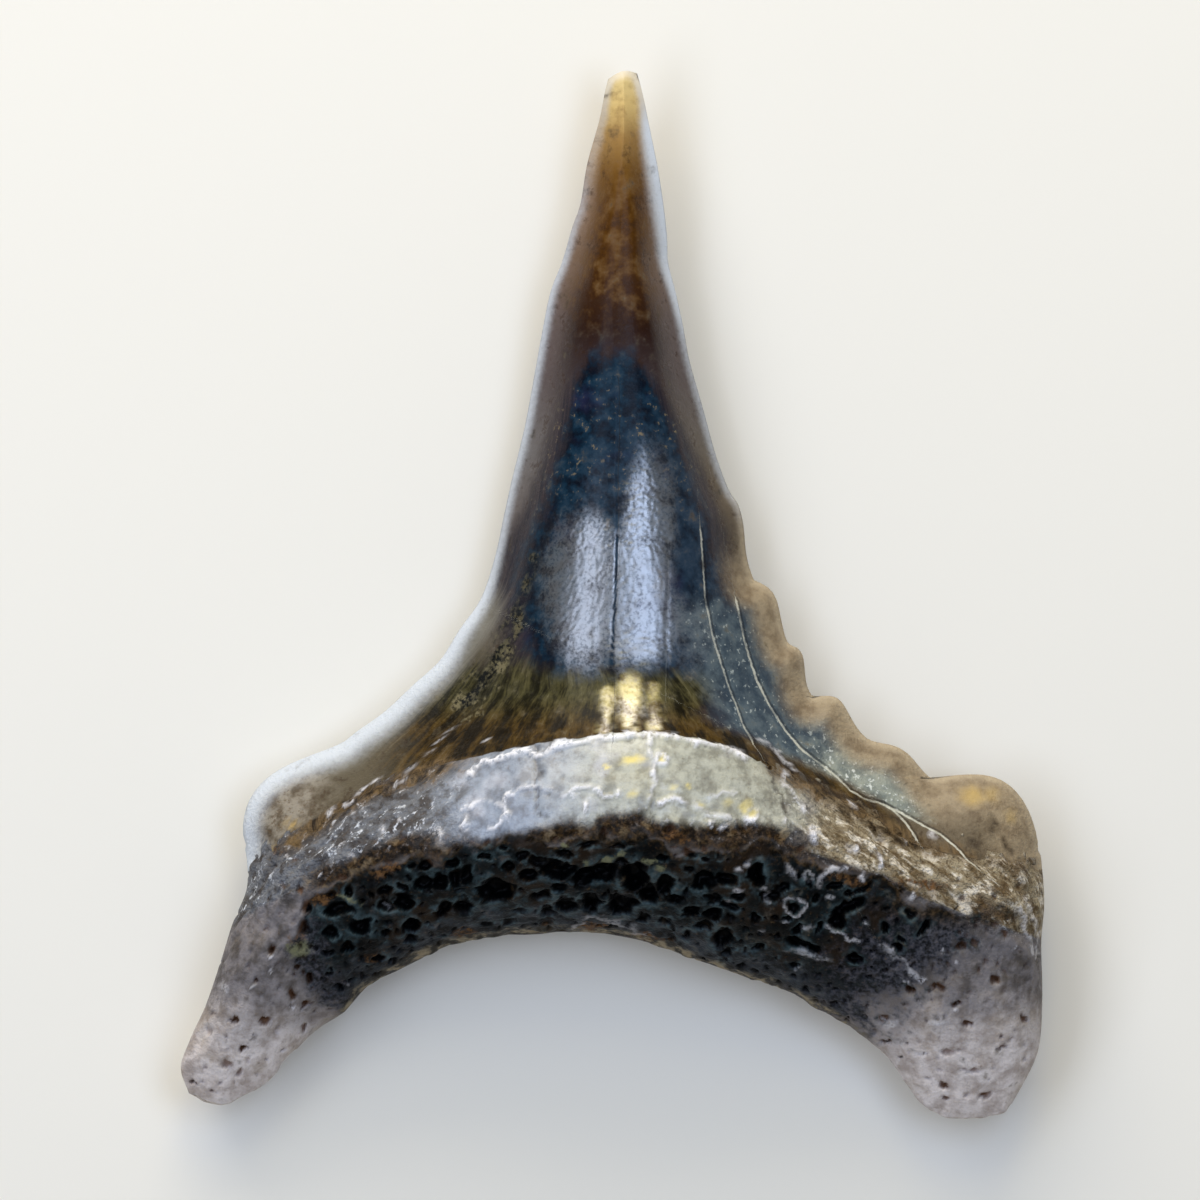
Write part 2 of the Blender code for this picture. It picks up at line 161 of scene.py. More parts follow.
# The pores of the root: x, y, half width and half height in pixels of the drawing, depth in
# millimetres, and turn in degrees, anticlockwise
PORES = (
    (498, 888, 17, 12, 0.30, 0), (426, 881, 10, 8, 0.2, 8), (441, 878, 8, 8, 0.22, 8),
    (457, 875, 8, 9, 0.2, 0), (468, 872, 6, 9, 0.18, 0), (445, 906, 10, 7, 0.2, 15),
    (464, 905, 9, 8, 0.2, 0), (413, 923, 8, 7, 0.2, 0), (410, 938, 6, 5, 0.14, 0),
    (406, 899, 9, 8, 0.22, 0), (388, 902, 9, 7, 0.14, 0), (387, 889, 8, 5, 0.16, 0),
    (405, 885, 5, 4, 0.12, 0), (414, 863, 4, 4, 0.12, 0), (428, 863, 7, 4, 0.14, 5),
    (453, 858, 6, 6, 0.16, 0), (485, 853, 7, 4, 0.1, 0), (509, 864, 7, 6, 0.14, 0),
    (524, 853, 6, 4, 0.12, 0), (540, 857, 9, 5, 0.14, -10), (531, 870, 10, 7, 0.18, 0),
    (553, 866, 11, 9, 0.24, -10), (566, 867, 9, 8, 0.26, 0), (559, 884, 8, 5, 0.16, -10),
    (540, 893, 11, 5, 0.16, 0), (549, 911, 8, 4, 0.14, -8), (546, 922, 6, 5, 0.08, 0),
    (509, 919, 6, 5, 0.1, 0), (485, 923, 6, 3, 0.08, 5), (521, 907, 7, 3, 0.08, 5),
    (425, 901, 3, 2.5, 0.08, 0), (430, 923, 3, 2.5, 0.08, 0), (388, 933, 5, 4, 0.12, 0),
    (443, 933, 4, 3, 0.08, 0), (428, 891, 7, 4, 0.08, 0), (462, 889, 5, 3, 0.06, 0),
    (506, 846, 6, 3, 0.1, 0), (489, 838, 3, 4, 0.08, 0), (567, 903, 10, 8, 0.2, 0),
    (592, 900, 10, 8, 0.22, -8), (622, 901, 15, 10, 0.28, 0), (586, 874, 13, 8, 0.3, 8),
    (603, 868, 16, 9, 0.32, 0), (634, 874, 13, 14, 0.34, 0), (649, 892, 9, 11, 0.26, 20),
    (642, 916, 6, 4, 0.14, 10), (623, 918, 2, 2, 0.06, 0), (652, 927, 3, 1.5, 0.05, -20),
    (665, 921, 7, 4, 0.12, -10), (690, 908, 9, 7, 0.22, 0), (711, 911, 8, 6, 0.18, 0),
    (702, 924, 9, 4, 0.14, 0), (721, 936, 10, 8, 0.22, 0), (686, 934, 4, 4.5, 0.12, 0),
    (671, 938, 5, 4, 0.1, 0), (673, 926, 3, 2.5, 0.08, 0), (683, 886, 3.5, 4.5, 0.1, 0),
    (688, 866, 4.5, 5, 0.12, 0), (703, 878, 14, 7, 0.22, 0), (726, 876, 12, 6, 0.2, 0),
    (664, 882, 9, 9, 0.2, 0), (674, 896, 10, 5, 0.18, 0), (712, 895, 11, 4, 0.14, -5),
    (729, 903, 8, 5, 0.14, -15), (726, 948, 6, 3, 0.1, 0), (722, 959, 4, 4, 0.08, 0),
    (662, 856, 8, 4, 0.14, -20), (689, 849, 8, 4, 0.14, -15), (703, 857, 4.5, 3.5, 0.1, 0),
    (705, 844, 3.5, 3.5, 0.08, 0), (717, 853, 2.5, 4, 0.08, 0), (619, 844, 9, 3, 0.12, 0),
    (602, 831, 3.5, 6, 0.08, 0), (671, 826, 3.5, 4.5, 0.1, 0), (566, 850, 9, 4, 0.14, 0),
    (619, 857, 8, 5, 0.14, 0), (590, 840, 12, 3, 0.1, 0), (755, 871, 8, 11, 0.26, 0),
    (808, 878, 6, 4, 0.14, -15), (792, 903, 5, 4, 0.12, 0), (784, 914, 4, 3, 0.1, 0),
    (755, 917, 5, 4, 0.12, 0), (798, 926, 5, 4, 0.16, 0), (817, 925, 4, 6, 0.14, 0),
    (801, 943, 18, 4.5, 0.2, -22), (757, 947, 4.5, 4, 0.14, 0), (744, 948, 3, 3, 0.08, 0),
    (792, 962, 6, 3, 0.12, -8), (775, 955, 5, 1.5, 0.06, 0), (854, 955, 8, 4.5, 0.16, -30),
    (846, 905, 20, 5, 0.24, 22), (836, 918, 11, 7, 0.22, 0), (862, 919, 4, 3, 0.1, 0),
    (882, 926, 3.5, 5.5, 0.14, 0), (900, 937, 4, 4, 0.12, 0), (894, 947, 5.5, 3.5, 0.14, -25),
    (885, 969, 3, 2.5, 0.08, 0), (845, 891, 5, 3, 0.12, 0), (862, 886, 13, 3, 0.12, 22),
    (835, 882, 8, 4, 0.12, 10), (814, 897, 4, 4, 0.12, 0), (774, 893, 8, 6, 0.14, 0),
    (764, 893, 5, 4, 0.12, 0), (780, 884, 8, 4, 0.12, 15), (738, 893, 8, 4, 0.14, 0),
    (993, 979, 5, 4.5, 0.16, 0), (936, 985, 8, 3, 0.14, 8), (908, 989, 5, 4.5, 0.16, -35),
    (963, 1024, 8, 3, 0.12, -25), (978, 964, 2.5, 2.5, 0.07, 0), (960, 946, 6, 3.5, 0.14, 10),
    (973, 940, 5, 2.5, 0.1, 10), (922, 925, 9, 4, 0.16, 35), (908, 912, 7, 4, 0.1, 10),
    (897, 872, 2.5, 2, 0.06, 0), (957, 877, 2, 2, 0.05, 0), (992, 892, 3, 3, 0.07, 0),
    (1001, 930, 3, 4, 0.09, 0), (975, 917, 3, 3, 0.06, 0), (957, 918, 5, 1.5, 0.06, 5),
    (958, 931, 3, 2, 0.07, 0), (1033, 868, 2.5, 2, 0.05, 0), (1023, 963, 2.5, 3, 0.05, 0),
    (953, 1001, 5, 1.8, 0.12, 0), (1023, 1017, 3.5, 4, 0.1, 0), (998, 1034, 2.5, 3, 0.08, 0),
    (999, 1046, 6, 2, 0.08, 12), (946, 1047, 8, 4, 0.07, 0), (958, 1045, 9, 2, 0.05, -12),
    (885, 1042, 6, 2.5, 0.08, 0), (922, 1053, 6, 1.5, 0.05, 0), (898, 1057, 2, 2, 0.05, 0),
    (883, 1017, 6, 2.5, 0.08, 0), (925, 1018, 3, 1.5, 0.06, 0), (972, 1067, 11, 2.5, 0.07, 0),
    (943, 1083, 3.5, 2.5, 0.12, 0), (945, 1096, 4.5, 3, 0.08, 0), (984, 1096, 5.5, 3.5, 0.1, 15),
    (274, 945, 5, 3.5, 0.16, 35), (309, 976, 4, 4, 0.16, 0), (303, 967, 3, 3, 0.12, 0),
    (352, 979, 3.5, 2, 0.12, 15), (256, 978, 3, 2, 0.1, 0), (295, 991, 5, 4, 0.12, 0),
    (306, 1003, 5.5, 4, 0.12, 0), (332, 971, 4, 3, 0.1, -20), (335, 965, 3, 2.5, 0.08, 0),
    (349, 945, 6, 4, 0.16, 15), (236, 1017, 4.5, 3.5, 0.14, 25), (266, 1018, 7, 3.5, 0.12, 5),
    (302, 1028, 4, 3, 0.08, 25), (208, 1028, 5, 4, 0.05, 0), (230, 1034, 2, 1.5, 0.05, 0),
    (247, 1046, 5, 2, 0.12, 10), (265, 1060, 4, 1.5, 0.05, 0), (282, 1050, 3, 1.5, 0.05, 20),
    (228, 1065, 7, 4, 0.07, -35), (240, 1074, 3.5, 2.5, 0.07, 0), (192, 1084, 3, 2.5, 0.1, 0),
    (213, 1090, 3, 2, 0.08, 0), (270, 895, 2.5, 2.5, 0.06, 30), (308, 905, 6, 8, 0.12, 20),
    (302, 887, 6, 4, 0.1, 0), (306, 926, 7, 7, 0.12, 0), (345, 876, 6, 4, 0.12, 0),
    (334, 892, 5, 5, 0.1, 0), (352, 890, 5, 5, 0.12, 0), (340, 908, 16, 7, 0.18, 10),
    (362, 924, 12, 8, 0.18, 0), (333, 930, 8, 6, 0.14, 0), (378, 958, 9, 4, 0.12, 20),
    (330, 950, 7, 4, 0.1, 0), (318, 944, 5, 3, 0.08, 0),
)  # fmt: skip
PORE_FLOOR = 0.4
PORE_LIP = 1.28
# The pores go mostly straight down: how much of their way follows the slope of the surface
PORE_SLANT = 0.3
PORE_DEPTH = 1.3

# Marks on the surface, in pixels of the drawing. A line has its half width and strength first,
# and a spot is x, y, half width, half height, turn and strength
PALE_LINES = (
    (2.6, 1.0, ((470, 772), (484, 762), (498, 758), (515, 753), (525, 751), (540, 752), (545, 747),
                (560, 742), (580, 738), (600, 736), (620, 734), (640, 731), (660, 732), (680, 736),
                (700, 741), (720, 746), (735, 751), (744, 758))),
    (2.4, 0.9, ((462, 810), (480, 800), (500, 803), (510, 812), (504, 820), (490, 825))),
    (2.2, 0.8, ((505, 800), (520, 787), (540, 783), (555, 788), (562, 795))),
    (2.2, 0.8, ((562, 795), (580, 783), (600, 788), (612, 792))),
    (3.0, 0.9, ((660, 798), (680, 797), (700, 806), (712, 812), (728, 816))),
    (2.0, 0.6, ((708, 797), (720, 790), (735, 792))),
    (2.0, 0.9, ((650, 735), (651, 760), (652, 772), (651, 795))),
    (1.3, 0.45, ((455, 725), (440, 740), (415, 765), (395, 790))),
    (1.5, 0.7, ((380, 775), (365, 785), (356, 796), (337, 806), (327, 814))),
    (2.2, 0.7, ((825, 925), (838, 930), (855, 938))),
    (2.2, 0.6, ((785, 945), (805, 952), (830, 958))),
    (2.4, 0.6, ((878, 944), (898, 960), (922, 980))),
    (2.0, 0.8, ((870, 845), (876, 858), (878, 868))),
    (2.6, 0.7, ((819, 885), (820, 874), (825, 868), (832, 865), (840, 866))),
    (1.8, 0.7, ((570, 928), (580, 921), (590, 915), (600, 914), (612, 919), (625, 925), (640, 930),
                (660, 937))),
    (1.6, 0.6, ((768, 890), (766, 896), (770, 900))),
    (2.0, 0.6, ((780, 770), (788, 785), (796, 800), (802, 812))),
    (2.2, 0.5, ((1015, 905), (1024, 925), (1030, 950))),
    (2.0, 0.5, ((1026, 895), (1034, 920), (1036, 955))),
    (1.8, 0.45, ((760, 738), (776, 752), (792, 768))),
)  # fmt: skip
PALE_SPOTS = (
    (737, 864, 5, 5, 0, 1.0), (736, 887, 6, 5, 0, 0.9), (728, 899, 4, 3, 0, 0.9),
    (747, 857, 3, 6, -20, 0.8), (788, 868, 10, 4, -35, 0.9), (762, 886, 4, 3, 0, 0.8),
    (784, 919, 5, 2, 0, 0.7), (762, 926, 4, 3, 0, 0.6), (806, 927, 6, 3, 0, 0.8),
    (829, 895, 4, 4, 0, 0.8), (860, 873, 5, 4, 0, 0.7), (864, 922, 4, 3, 0, 0.7),
    (908, 894, 5, 7, 0, 0.7), (939, 950, 4, 3, 0, 0.6), (1013, 947, 2.5, 2.5, 0, 0.8),
    (390, 903, 4, 4, 0, 0.5), (958, 956, 3, 2, 0, 0.7), (275, 966, 4, 3, 0, 0.6),
    (205, 1085, 4, 3, 0, 0.6), (812, 832, 6, 12, 0, 1.0), (850, 848, 9, 8, 0, 1.0),
    (853, 807, 5, 4, 0, 0.9), (930, 835, 6, 4, -30, 0.8), (900, 840, 7, 4, -30, 0.8),
    (693, 820, 3, 3, 0, 0.8), (711, 822, 3.5, 4, 0, 1.0), (724, 825, 5, 3, 30, 0.7),
    (782, 817, 4, 3, 0, 0.8), (651, 782, 4, 9, 0, 0.9), (619, 789, 4, 8, 0, 1.0),
    (573, 793, 4, 4, 0, 0.7), (587, 803, 4, 10, 0, 0.9), (467, 822, 4, 8, 0, 0.8),
    (441, 830, 3, 7, 0, 0.7), (385, 825, 3, 8, 0, 0.8), (365, 804, 4, 3, 20, 0.7),
    (357, 815, 3, 3, 0, 0.6), (402, 818, 3, 4, 0, 0.7), (390, 845, 3, 3, 0, 0.6),
    (355, 855, 4, 2.5, 20, 0.6), (344, 842, 5, 2, 30, 0.6), (318, 850, 5, 2, 30, 0.5),
    (288, 855, 4, 3, 0, 0.6), (322, 873, 4, 2, 20, 0.6), (427, 751, 4, 3, 30, 0.6),
    (226, 986, 10, 6, 0, 0.4), (890, 1022, 10, 5, 0, 0.4), (935, 1020, 15, 5, 0, 0.4),
    (273, 953, 5, 2, 30, 0.6), (309, 983, 4, 1.8, 0, 0.7), (350, 983, 4, 1.6, 0, 0.6),
    (255, 984, 4, 1.6, 0, 0.6), (262, 1031, 5, 1.8, 0, 0.5), (238, 1026, 5, 2, 20, 0.6),
    (292, 1004, 4, 1.8, 0, 0.6), (951, 1006, 7, 1.8, 0, 0.6), (905, 982, 5, 2, 0, 0.6),
    (795, 968, 7, 2, 0, 0.6), (486, 741, 5, 2, 50, 0.6),
)  # fmt: skip
# Rings of crust: x, y, outer radius and width of the ring
PALE_RINGS = ((793, 903, 9, 2.4), (808, 872, 7, 2.4), (661, 758, 7, 3), (750, 811, 6, 3))
DARK_LINES = (
    (1.6, 0.7, ((538, 722), (536, 745), (539, 770), (537, 795), (540, 815))),
    (1.5, 0.7, ((645, 716), (643, 728), (646, 738))),
    (2.2, 0.8, ((768, 765), (772, 778), (780, 795), (786, 812))),
    (3.2, 0.9, ((750, 748), (764, 754), (780, 762), (800, 775), (820, 785), (840, 795), (860, 805),
                (882, 812), (905, 820))),
    (2.6, 0.7, ((448, 735), (430, 752), (408, 775), (388, 797), (374, 812))),
    (2.0, 0.5, ((654, 800), (652, 815), (656, 830))),
    (2.0, 0.8, ((990, 815), (1000, 835), (1010, 852))),
)  # fmt: skip
DARK_SPOTS = (
    (542, 770, 6, 7, 0, 0.6), (560, 750, 5, 4, 0, 0.5), (562, 775, 5, 5, 0, 0.4),
    (545, 792, 5, 4, 0, 0.5), (545, 812, 6, 4, 0, 0.6), (630, 738, 9, 2.5, 0, 0.7),
    (388, 790, 4, 4, 0, 0.8), (378, 810, 3, 4, 0, 0.8), (950, 828, 6, 3, -35, 0.9),
    (972, 841, 13, 5, -30, 0.9), (990, 827, 6, 7, 0, 0.8), (1004, 845, 5, 6, 0, 0.9),
    (275, 828, 7, 4, 0, 0.7), (732, 750, 4, 2, 0, 0.6), (703, 745, 3, 2, 0, 0.5),
    (671, 826, 4, 5, 0, 0.8), (602, 831, 4, 7, 0, 0.8), (798, 772, 5, 6, 0, 0.8),
    (845, 798, 9, 3, -35, 0.8), (826, 786, 6, 3, -35, 0.7),
)  # fmt: skip
# How high the fine pebbles of the polished enamel are, in millimetres, and where it mirrors a light
PEBBLE = 0.0095
SHEEN = (
    (584, 590, 46, 84, 0, 1.0), (646, 556, 32, 116, -4, 1.0), (644, 622, 46, 48, 0, 1.0),
    (620, 600, 20, 76, 0, 1.0), (690, 636, 30, 40, 0, 0.45), (600, 500, 40, 50, 0, 0.12),
    (630, 699, 34, 26, 0, 0.4),
)  # fmt: skip
# Glints at the crown's foot: polished to mirror the warm light, and painted gold too as a highlight
GLINTS = (
    (7, 0.6, ((608, 692), (607, 708), (606, 726))), (12, 0.8, ((631, 682), (628, 696), (630, 712))),
    (6, 0.6, ((652, 686), (653, 704), (655, 727))), (5, 0.9, ((604, 724), (606, 728))),
    (5, 0.9, ((629, 722), (632, 726))), (4, 0.9, ((655, 722), (656, 727))),
)  # fmt: skip
# Painted golden highlights on the neck band, where it would mirror a warm light
PAINTED_GOLD_HIGHLIGHTS = (
    (607, 766, 8, 4, -20, 0.8), (633, 758, 15, 5, 12, 0.9), (661, 758, 6, 7, 0, 0.7),
    (672, 784, 6, 4, 0, 0.7), (685, 784, 5, 3.5, 0, 0.7), (632, 793, 8, 5, 0, 0.6),
    (745, 803, 8, 9, -30, 0.6), (752, 812, 8, 6, 0, 0.6), (728, 800, 9, 8, 0, 0.35),
    (700, 802, 8, 3, -40, 0.5),
)  # fmt: skip
OCHRE_SPOTS = (
    (675, 834, 19, 6, -8, 1.0), (326, 895, 20, 8, 20, 0.9), (390, 868, 20, 7, 15, 0.8),
    (300, 936, 12, 10, 0, 0.4), (920, 882, 38, 6, -5, 0.8), (845, 879, 26, 7, -15, 0.7),
    (292, 823, 9, 5, 0, 0.8), (277, 849, 9, 6, 0, 0.6), (972, 797, 16, 12, 0, 1.0),
    (990, 795, 10, 10, 0, 0.6), (465, 932, 17, 7, 10, 0.8), (547, 923, 9, 5, 0, 0.6),
    (650, 936, 28, 5, -12, 0.8), (375, 955, 16, 6, 20, 0.6), (594, 924, 19, 6, 0, 1.0),
    (1011, 817, 8, 8, 0, 0.5),
)  # fmt: skip
OLIVE_SPOTS = (
    (606, 857, 13, 5, 20, 0.9), (622, 850, 9, 4, 0, 0.8), (648, 857, 14, 4, -15, 0.7),
    (660, 866, 9, 4, -20, 0.7), (563, 843, 8, 4, 0, 0.6), (302, 947, 18, 12, 0, 0.7),
    (350, 897, 22, 4, -25, 0.6), (586, 862, 4, 9, 20, 0.6),
)  # fmt: skip
# A flaked strip of enamel beside the core
FLAKED = (
    (9, 0.5, ((536, 560), (522, 600), (506, 636), (492, 668), (470, 704), (450, 728))),
    (20, 0.45, ((516, 620), (502, 650), (486, 682), (466, 706))),
    (5, 1.0, ((505, 640), (496, 662), (482, 682), (466, 704))),
)  # fmt: skip
# Fine cracks in the enamel, each from its upper end down
LEFT_CRACK = ((700, 530), (702, 555), (705, 600), (713, 640), (722, 668), (735, 705), (742, 725),
              (752, 741))  # fmt: skip
RIGHT_CRACK = ((736, 600), (740, 620), (745, 645), (756, 680), (770, 707), (785, 730), (800, 748),
               (818, 762), (835, 775), (850, 790), (866, 799), (880, 802), (892, 809), (905, 822),
               (915, 838))  # fmt: skip
CRACK_BRANCH = ((880, 802), (900, 812), (925, 826), (940, 834), (952, 844), (975, 868))
CORE_CRACK = ((617, 380), (618, 420), (616, 480), (617, 540), (615, 600), (612, 660), (613, 700),
              (611, 740))  # fmt: skip
CORE_HAIR = ((668, 540), (668, 580), (666, 640), (665, 700))
# The cracks by name, with their half widths in pixels and how strongly their pale sides show
CRACKS = (
    ("left_crack", LEFT_CRACK, 0.7, 0.6), ("right_crack", RIGHT_CRACK, 0.8, 0.8),
    ("branch_crack", CRACK_BRANCH, 0.8, 0.8), ("core_crack", CORE_CRACK, 0.5, 0.0),
    ("hair_crack", CORE_HAIR, 0.3, 0.1),
)  # fmt: skip
# Farther than this from a crack, its distance isn't told apart any more
CRACK_FAR = 40

# The regions of the surface, as lines across the drawing from left to right
DARK_FROM = ((240, 960), (290, 925), (300, 897), (320, 886), (350, 878), (370, 868), (400, 856),
             (430, 849), (500, 843), (560, 838), (612, 836), (660, 840), (700, 846), (770, 854),
             (800, 860), (850, 876), (880, 888), (920, 898), (960, 904), (1000, 910),
             (1042, 925))  # fmt: skip
BAND_TO = ((380, 856), (400, 850), (420, 845), (440, 843), (460, 838), (480, 837), (500, 832),
           (520, 828), (540, 822), (560, 818), (580, 817), (590, 820), (600, 810), (620, 808),
           (640, 807), (650, 812), (660, 817), (680, 818), (700, 819), (740, 817), (760, 820),
           (790, 826))  # fmt: skip
# Against the height of the drawing: the middle of the blue-black core, and its half width
CORE_MIDDLE = ((300, 612), (350, 612), (400, 615), (450, 620), (500, 622), (550, 618), (600, 622),
               (650, 635), (720, 645))  # fmt: skip
CORE_HALF = ((300, 18), (350, 28), (400, 48), (450, 66), (500, 84), (550, 104), (600, 116),
             (650, 118), (720, 120))  # fmt: skip

# Where the marks on the left side of the drawing meet those on the right
HALFWAY = 600
# Where a region or a mark fades in, from and to, in pixels of the drawing: X across it and Y down
# it. Two more numbers, or END in the name, say where it fades out
RAISED_LEFT_END_X = (395, 470)
RAISED_RIGHT_X = (765, 825)
RIDGES_X = (420, 480, 735, 790)
RIDGES_Y = (600, 700, 735, 752)
TAN_X = (735, 865)
BAND_X = (400, 500)
IVORY_X = (480, 680)
MARGIN_X = (380, 430, 770, 810)
BELT_X = (290, 330)
BELT_NARROWER_X = (770, 830)
BELT_WEAKER_X = (900, 960)
BEIGE_X = (300, 360, 840, 880)
STAIN_LEFT_X = (255, 300, 430, 520)
STAIN_RIGHT_X = (740, 780)
STAIN_WEAKER_X = (860, 1030)
RAGGED_LEFT_END_X = (380, 470)
RAGGED_RIGHT_X = (740, 800)
LOBE_END_Y = (950, 1085)
CORE_Y = (325, 385, 650, 695)
DUSK_Y = (340, 400)
FOOT_Y = (630, 690)
FLANK_Y = (560, 640)
CUSP_Y = (520, 600)
CUSP_DEEPER_X = (900, 960)
BLUE_Y = (575, 625)
BLUE_END_X = (895, 950)
HEEL_END_X = (285, 360)
HEEL_Y = (730, 770)
INNER_WIDER_Y = (90, 300)
RIM_WIDER_Y = (540, 730)
RIM_BULGE_Y = (90, 170, 200, 320)
RIM_LEFT_Y = (80, 300)
RIM_STRONGER_Y = (520, 660)
RIM_RIGHT_Y = (80, 140)
RIM_WEAKER_Y = (280, 360)
# The material counts the height in the drawing in thousands of pixels
HEIGHT_UNIT = 1000
# Slanted edges: how much X and Y count, and the sums from and to which the edge fades
DARK_LEFT_EDGE = (0.86, -0.5, -262, -160)
DARK_RIGHT_EDGE = (0.62, 0.78, 1190, 1420)
FOOT_EDGE = (0.86, 0.5, 935, 985)
MISTY_EDGE = (0.86, 0.5, 1040, 1120)
BLUE_EDGE = (1, -0.35, 440, 495)
# Fades over or below a line, or away from the arch, the edge or the middle of the core, in pixels
DARK_BELOW = (-9, 11)
DUSKY_BELOW = (8, 30)
CRUST_ABOVE = (-30, -6, -3, 8)
MARGIN_ABOVE = (-34, -12, -6, 10)
BAND_ABOVE = (-6, 4)
BAND_COLOUR_ABOVE = (-12, 10)
DRIPS_ABOVE = (8, 40)
NECK_EDGE = (-2.5, 2.5)
FOOT_OVER_NECK = (8, 26)
BLUE_OVER_NECK = (10, 28)
BEIGE_FROM_ARCH = (2, 9)
LOW_FROM_ARCH = (8, 45)
FLANK_FROM_EDGE = (14, 36)
CUSP_FROM_EDGE = (10, 44)
RELIEF_FROM_EDGE = (0.5, 9)
RIGHT_OF_MIDDLE = (-60, 80)
# Widths in pixels: of the stain over and under the neck, of the belt, of the crown's edge colours,
# how much deeper the colour of the last cusp reaches, and how ragged the neck is
STAIN_OVER_NECK = 15
STAIN_UNDER_NECK = 26
BELT_WIDE = 18
BELT_NARROWER = 6
INNER_EDGE = 11
INNER_WIDER = 27
CUSP_DEEPER = 30
RAGGED = 3
RAGGED_BESIDE = 24
# The crown's pale rim on the left and on the right, partly paler enamel and partly a painted glow of
# light through its thin edge: its width, how much wider it gets, both in pixels, and how many widths
# from the edge it ends
RIM_LEFT = (6, 8, 2.2)
RIM_RIGHT = (7, 6, 1.7)
# Fades away from the middle of the core, counted in half widths of the core
CORE_FROM_MIDDLE = (0.65, 1.15)
DUSK_FROM_MIDDLE = (0.95, 1.28)
FOOT_FROM_MIDDLE = (1.6, 2.6)
# Fades from row to row, and in millimetres over the resting place
SHOULDER_ROWS = (0.1, 0.22)
RAISED_LOBE_ROWS = (0.16, LEDGE + 0.03)
LOBE_ROWS = (0.17, LEDGE + 0.03)
BACK_NECK_ROWS = (0.27, 0.3)
ROOT_PAST_NECK = 0.004
ROOT_FADE = 0.012
ENAMEL_FADE = (0.002, 0.02)
BACK_EVEN_BELOW = (0.03, 0.3)
# How marks waver: how far and over what length, in pixels, and the seed
PORE_WAVER = (3.6, 11, 80)
DARK_WAVER = (14, 40, 90)
MARK_WAVER = (3, 12, 80)
FLAKE_WAVER = (6, 14, 70)
# The small pores are strewn by a seeded draw: over this box, clear of the arch and thinner on the
# lobes. Sizes are in pixels, and depths are in millimetres for each pixel of size
SMALL_PORES = 420
SMALL_PORE_SEED = 12
STREWN_X = (200, 1030)
STREWN_Y = (830, 1100)
STREWN_OVER_ARCH = 6
THINNED_ON_LOBES = 0.9
SMALL_PORE_SIZE = (1.8, 4.6)
SMALL_PORE_FLATNESS = (0.5, 0.95)
SMALL_PORE_DEPTH = (0.018, 0.034)
SMALL_PORE_TURN = (-30, 30)
SMALL_PORE_FLOOR = 0.1
SMALL_PORE_LIP = 1.15
# The room that a small pore needs around it: a share of its size, and a wall in pixels
PORE_SPACING = 1.1
PORE_WALL = 1.5

# How many rows, and how many steps from left to right in each part of a row
FACE_ROWS = 80
BAND_ROWS = 32
HEEL_ROWS = 24
CUSP_ROWS = 60
SHEEN_ROWS = 80
CROWN_ROWS = 30
TIP_ROWS = 16
ROOT_STEPS = (456, 76)
CROWN_STEPS = (152, 38)
TIP_STEPS = 38
SHEEN_TO = 0.81
# Steps are finer at the ends of the root's rows, and in the middle of the crown's
FINER_AT_ENDS = 0.3
FINER_IN_CROWN = -0.3
# The streaks of the enamel run up the rows: how many pixels of pattern a row's way and its width count
CROWN_GRAIN = (90, 480)
FACE_BUNCHING = 1.25
SIDE_SAMPLES = 4000


def on_tooth(pixels):
    """Pixels of the drawing as millimetres on the tooth, X to the right and Y up."""
    pixels = np.asarray(pixels, float)
    return (pixels - MIDDLE) * (SCALE, -SCALE)


def smooth_line(points, per_span=12):
    """A dense curve through the points, and the place of each point on it."""
    points = np.asarray(points, float)
    knots = np.append(0, np.cumsum(np.linalg.norm(np.diff(points, axis=0), axis=1) ** 0.5))
    slopes = np.gradient(points, knots, axis=0)
    span = np.diff(knots)[:, None, None]
    t = np.linspace(0, 1, per_span, endpoint=False)[None, :, None]
    start, end = points[:-1, None], points[1:, None]
    curve = (
        (1 + 2 * t) * (1 - t) ** 2 * start
        + t * (1 - t) ** 2 * span * slopes[:-1, None]
        + t**2 * (3 - 2 * t) * end
        + t**2 * (t - 1) * span * slopes[1:, None]
    )
    curve = np.concatenate([curve.reshape(-1, 2), points[-1:]])
    return curve, np.arange(len(points)) * per_span


def marked_line(points):
    """A function from a marked number to the place on the smooth line through the points."""
    curve, at_point = smooth_line([point[:2] for point in points])
    length = np.append(0, np.cumsum(np.linalg.norm(np.diff(curve, axis=0), axis=1)))
    marks = [(point[2], length[at]) for point, at in zip(points, at_point) if len(point) > 2]

    def place(number):
        along = np.interp(number, *zip(*marks))
        return np.stack([np.interp(along, length, curve[:, axis]) for axis in (0, 1)], -1)

    return place


def graph(pairs):
    """A smooth function through the pairs."""
    curve, _ = smooth_line(pairs)
    return lambda value: np.interp(value, curve[:, 0], curve[:, 1])


def ramp(value, low, high):
    """A smooth rise from 0 at the low number to 1 at the high one."""
    t = np.clip((value - low) / (high - low), 0, 1)
    return t * t * (3 - 2 * t)


def bulges(row, sides, across):
    """How far the heels and cusps push a row out from the two sides, in pixels."""
    push = np.zeros((len(across), 2))
    wide = np.linalg.norm(sides[RIGHT](row) - sides[LEFT](row))
    for side, start, end, height, lean, sharpness, reach in BULGES:
        share = (row - start) / (end - start)
        if not 0 < share < 1:
            continue
        along = sides[side](row + ROW_STEP) - sides[side](row - ROW_STEP)
        outward = np.array([-along[1], along[0]]) / np.linalg.norm(along)
        out = height * np.sin(np.pi * share**lean) ** sharpness * (1 if side == RIGHT else -1)
        from_edge = wide * (1 - across if side == RIGHT else across)
        push += (out * np.exp(-((from_edge / reach) ** 1.5)))[:, None] * outward
    return push


